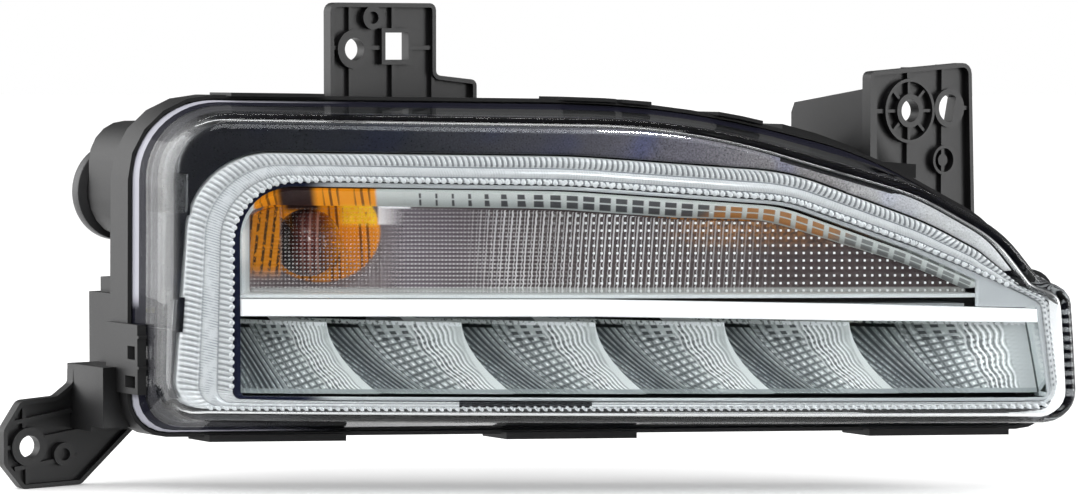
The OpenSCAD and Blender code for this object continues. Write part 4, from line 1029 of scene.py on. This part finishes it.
# Dark bright frame round the window, widened at its outboard end
inboard_step = [(205, -24.3, 0.4), (180.4, -23.7, 0.4), (180.4, -13.7, 0.4)]
opening = outline(WINDOW[:2] + inboard_step + WINDOW[3:], 10, 10)
frame_edge = [(lerp(x, min(x + 2.2, -107.9), outboard_share(x)), z)
              for x, z in inset(outline(GUIDE_IN, 10, 10), 0.3)]
plate("window_frame", [frame_edge, opening], 11, 12.9, FRAME, ("chrome_frame",), 0.45)
wall_rows = [[at(x, z, bow(x, y)) for x, z in inset(outline(WINDOW, 10, 10), d)]
             for d, y in ((0.0, 12.0), (0.0, 21.5), (-1.3, 21.5), (-1.3, 12.6))]
piece("window_frame_wall", *loft(wall_rows, ring=True), CHROME, "chrome", 40, ("chrome_frame",))

# Divider bar
BAR_TOP = -20.9
bar = [(-104.5, -27.2), (30, -27.2), (128, -28.9), (204.4, -29.9), (204, -24.8), (128, -22.7), (30, BAR_TOP),
       (-104.5, BAR_TOP)]
plate("white_divider", [bar], 10, 18, WHITE, ("divider_bar",), 0.7, round_steps=3)

# Indicator chamber
GAP, SHELL, SKIN = 0.3, 1.6, 1.3
TRAY_LEFT, TRAY_RIGHT = WINDOW[0][0] + GAP + SHELL, 184.0
TRAY_FLOOR = BAR_TOP + GAP + SHELL
# rows: one at the mouth, those of the back up to BACK_LAST, and those of the sloping top
TRAY_COLS, BACK_LAST, TOP_LAST = 560, 30, 40
MOUTH_Y, TOP_Y = 13, 23.5
FACET_WIDE, SQUARE_WIDE, SQUARE_ROWS = 4.2, 6.2, 3
SQUARES_FROM, SQUARES_TO, SQUARES_START = -48, 150, -400
BULB_X, BULB_Z = -61.0, -0.4
top_line = sorted((x, z) for x, z in outline(WINDOW, 24, 1) if z > -23)


def lookup(x, table):
    """The value at x of a line through sorted points, level beyond its ends."""
    if x <= table[0][0]:
        return table[0][1]
    for (x0, z0), (x1, z1) in zip(table, table[1:]):
        if x <= x1:
            return lerp(z0, z1, (x - x0) / max(1e-9, x1 - x0))
    return table[-1][1]


def tray_top(x):
    """Height of the tray's upper edge, a gap and its skin below the window's upper line."""
    return lookup(x - SHELL if x < -85 else x, top_line) - GAP - SKIN


def back_top(x):
    """Height of the line in which the tray's back meets its sloping top."""
    slope = min(lerp(6.0, 1.5, clamp((x - 70) / 100)), (tray_top(x) - TRAY_FLOOR) * 0.5)
    return tray_top(x) - slope


def bowl(x, z):
    """Depth of the dish behind the bulb."""
    return 60 - (((x - BULB_X) * cos(SLANT)) ** 2 + (z - BULB_Z) ** 2) / 30.0


def tray_y(x, z):
    """Depth of the tray's back: the dish, and inboard of it a plane that comes forward."""
    deep = bowl(x, z) if x < BULB_X else max(bowl(x, z), 45 - 0.09 * (x - BULB_X))
    return max(30.2 - 0.012 * max(x, 0), deep)


def tray_spot(i, j):
    """Place along, height, and the share up the back or the top of row i and column j."""
    x = lerp(TRAY_LEFT, TRAY_RIGHT, j / TRAY_COLS)
    if i <= BACK_LAST:
        share = max(0, i - 1) / (BACK_LAST - 1)
        return x, lerp(TRAY_FLOOR, back_top(x), share), share
    share = (i - BACK_LAST - 1) / (TOP_LAST - BACK_LAST - 1)
    return x, lerp(back_top(x), tray_top(x), share), share


def tray_front(i, j):
    """Floor, back with upright facets, and the sloping top with its rows of squares."""
    x, z, share = tray_spot(i, j)
    if i == 0:
        y = MOUTH_Y
    elif i <= BACK_LAST:
        y = min(tray_y(x, z), MOUTH_Y + 0.2 + 1.25 * (x - TRAY_LEFT))
        y += (0.35 if x > -20 else 0.6) * abs(sin(pi * (x - TRAY_LEFT) / FACET_WIDE))
    else:
        y = lerp(TOP_Y, MOUTH_Y, share)
        across, up = (x - SQUARES_START) / SQUARE_WIDE, share * SQUARE_ROWS
        if SQUARES_FROM < x < SQUARES_TO and share < 1:
            side = (math.floor(across) + math.floor(up)) % 2 * 2 - 1
            y += 0.5 * side * (across % 1 - 0.5) + 0.4 * (up % 1 - 0.5)
    return at(x, z, bow(x, y))


def tray_back(i, j):
    x, z, share = tray_spot(i, j)
    side = -SHELL if j == 0 else SHELL if j == TRAY_COLS else 0
    if i == 0:
        return at(x + side, z - SKIN, bow(x, MOUTH_Y))
    if i <= BACK_LAST:
        return at(x + side, z - (SKIN if i == 1 else 0), bow(x, tray_y(x, z) + 2.8))
    return at(x + side, z + 1.0, bow(x, lerp(TOP_Y, MOUTH_Y, share) + 1.9))


def tray_flow(i, j):
    x, z, share = tray_spot(i, j)
    return (x / 100, z / 100 if i <= BACK_LAST else 1 + share)


field("indicator_tray", TOP_LAST + 1, TRAY_COLS + 1, tray_front, tray_back, TRAY, "reflector",
      ("indicator_reflector",), 25, tray_flow)

# Pillow lens over the chamber
INNER_LEFT, INNER_RIGHT = -94.5, 182.4
INNER_COLS, INNER_ROWS = 1080, 110
INNER_Y, INNER_THICK = 20.0, 2.0


def inner_spot(i, j):
    x = lerp(INNER_LEFT, INNER_RIGHT, j / INNER_COLS)
    return x, lerp(TRAY_FLOOR + GAP, back_top(x) - 2 * GAP, i / INNER_ROWS)


def inner_front(i, j):
    """Round pillows inboard and fine level ribs outboard."""
    x, z = inner_spot(i, j)
    y = INNER_Y
    if 0 < i < INNER_ROWS and 0 < j < INNER_COLS:
        up = pi * (z - PILLOW_START)
        if x > -6:
            y += 0.5 * (1 - sin(pi * x / PILLOW_WIDE) ** 2 * sin(up / PILLOW_HIGH) ** 2)
        else:
            y += 0.25 * sin(up / 1.5) ** 2
    return at(x, z, bow(x, y))


def inner_back(i, j):
    x, z = inner_spot(i, j)
    return at(x, z, bow(x, INNER_Y + INNER_THICK))


def inner_flow(i, j):
    x, z = inner_spot(i, j)
    return (x / 100, z / 100)


field("pillow_inner_lens", INNER_ROWS + 1, INNER_COLS + 1, inner_front, inner_back, INNER, "clear",
      ("indicator_inner_lens",), 60, inner_flow)

# Daytime row with its six swept cells
CELL_EDGES = [TRAY_LEFT, -68.4, -17.3, 34.1, 84.4, 134, 205.2]
CELL_COUNT = len(CELL_EDGES) - 1
CELL_COLS, CELL_ROWS = 132, 44
CELL_TOP, CELL_FOOT = -30, -57.4
# the sweep of the walls between the cells, and the slant of the last one
SWEEP, SWEEP_CURVE, LAST_SLANT = 18.5, 1.85, 3.9
FLUTES = 22


def edge_x(i, w):
    """Place along of the wall before cell i at the share w down the row; the first wall stands upright."""
    if i == 0:
        return CELL_EDGES[0]
    return CELL_EDGES[i] + (LAST_SLANT * w if i == CELL_COUNT else SWEEP * w ** SWEEP_CURVE)


def cell_spot(i, j):
    """Cell number, share s along the cell and share w down it; row nought is the foot."""
    c = min(CELL_COUNT - 1, j // (CELL_COLS + 1))
    return c, (j - c * (CELL_COLS + 1)) / CELL_COLS, (CELL_ROWS - i) / CELL_ROWS


def cell_base(c, s, w):
    """Place along, height and depth before the flutes and facets."""
    y = 16 + (28 * (1 - w) ** 1.3 + 3) * (1 - s) ** 1.4 * (1 - 0.2 * w) + 2 * (1 - w)
    return lerp(edge_x(c, w), edge_x(c + 1, w), s), lerp(CELL_TOP, CELL_FOOT, w), y


def cell_front(i, j):
    c, s, w = cell_spot(i, j)
    x, z, y = cell_base(c, s, w)
    if 0 < i < CELL_ROWS and 0 < s < 1:
        y += 0.45 * cos(2 * pi * FLUTES * s) * clamp((0.62 - s) * 4)
        facets = cos(2 * pi * (13 * s)) * cos(2 * pi * (17 * w + 10 * s))
        y += 0.22 * facets * clamp((s - 0.35) * 5) * clamp((1 - s) * 5)
    return at(x, z, bow(x, y))


def cell_back(i, j):
    c, s, w = cell_spot(i, j)
    x, z, y = cell_base(c, s, w)
    wall = SHELL if s == 0 or s == 1 and c < CELL_COUNT - 1 else 0
    return at(x - wall, z, bow(x, y + 2.2))


def cell_flow(i, j):
    c, s, w = cell_spot(i, j)
    return (2 * c + s, w)


field("daytime_cells", CELL_ROWS + 1, CELL_COUNT * (CELL_COLS + 1), cell_front, cell_back, CELLS, "reflector",
      ("drl_reflector",), 50, cell_flow)

# Camera and lights
VIEW_FAR, VIEW_UP, VIEW_ANGLE = 1450, radians(3), radians(16.09)
SENSOR = 36


def look_at(ob, place, target):
    ob.location = part_point(*place)
    ob.rotation_euler = (part_point(*target) - ob.location).to_track_quat("-Z", "Y").to_euler()


cam = add_object("camera", bpy.data.cameras.new("camera"))
cam.data.sensor_width = SENSOR
cam.data.lens = SENSOR / 2 / tan(VIEW_ANGLE / 2)
cam.data.clip_start = 0.05
cam.data.clip_end = 20
look_at(cam, (0, -VIEW_FAR * cos(VIEW_UP), VIEW_FAR * sin(VIEW_UP)), (0, 0, 0))
bpy.context.scene.camera = cam


def area(name, place, size, power):
    """A lamp of the given width and height in metres, turned towards the front of the part."""
    data = bpy.data.lights.new(name, "AREA")
    data.shape = "RECTANGLE"
    data.size, data.size_y = size
    data.energy = power
    look_at(add_object(name, data), place, (0, 20, 0))


area("key_top", (-150, -700, 900), (0.8, 0.5), 3.4)
area("side_left", (-1300, 0, 250), (1.3, 1.5), 14)
area("side_right", (1150, -350, 200), (0.5, 0.9), 6)
area("spark", (150, -1500, 420), (0.14, 0.14), 3.0)
area("back_rim", (0, 700, 1000), (1.6, 0.05), 1.2)

# Studio surround: white to the camera, and elsewhere bright all round and darker behind the camera
world = bpy.data.worlds.new("studio")
world.use_nodes = True
sky = world.node_tree
direction = node(sky, "ShaderNodeTexCoord").outputs["Generated"]
way = node(sky, "ShaderNodeSeparateXYZ", {"Vector": direction}).outputs
front = span(sky, way["Y"], -0.97, -0.45, 0.06, 1.0)
left_wall = span(sky, way["X"], -0.3, -0.85, 0.0, 1.6)
right_wall = span(sky, way["X"], 0.45, 0.9, 0.0, 0.9)
mirrored = times(sky, plus(sky, left_wall, right_wall, 0.14), front)
ray = node(sky, "ShaderNodeLightPath").outputs
soft = node(sky, "ShaderNodeMix", {0: ray["Is Glossy Ray"], 2: times(sky, front, 1.15), 3: mirrored},
            data_type="FLOAT")
level = node(sky, "ShaderNodeMix", {0: ray["Is Camera Ray"], 2: soft.outputs[0], 3: 1.0}, data_type="FLOAT")
feed(sky, sky.nodes["Background"], {"Strength": level.outputs[0], "Color": (1, 1, 1, 1)})
bpy.context.scene.world = world
bpy.context.scene.view_settings.view_transform = "Standard"

# Floor under the lowest point, from just before the lamp to far behind it
FLOOR_HALF, FLOOR_LINES = 5.0, (-0.06, 0.6, 12.0)
me = bpy.data.meshes.new("floor")
n = len(FLOOR_LINES)
me.from_pydata([(x, y, cad_box[0][2]) for x in (-FLOOR_HALF, FLOOR_HALF) for y in FLOOR_LINES], [],
               [(i, i + 1, n + i + 1, n + i) for i in range(n - 1)])
for p in me.polygons:
    p.use_smooth = True
FLOOR = grain_mat("pale_floor", (0.9, 0.9, 0.9), (0.93, 0.93, 0.93), (0.7, 0.8), scale=60, patch=3,
                  bump=0.01, more={"Specular IOR Level": 0.0, **white_glow(0.16)})
wear(me, FLOOR)
floor = add_object("floor", me)
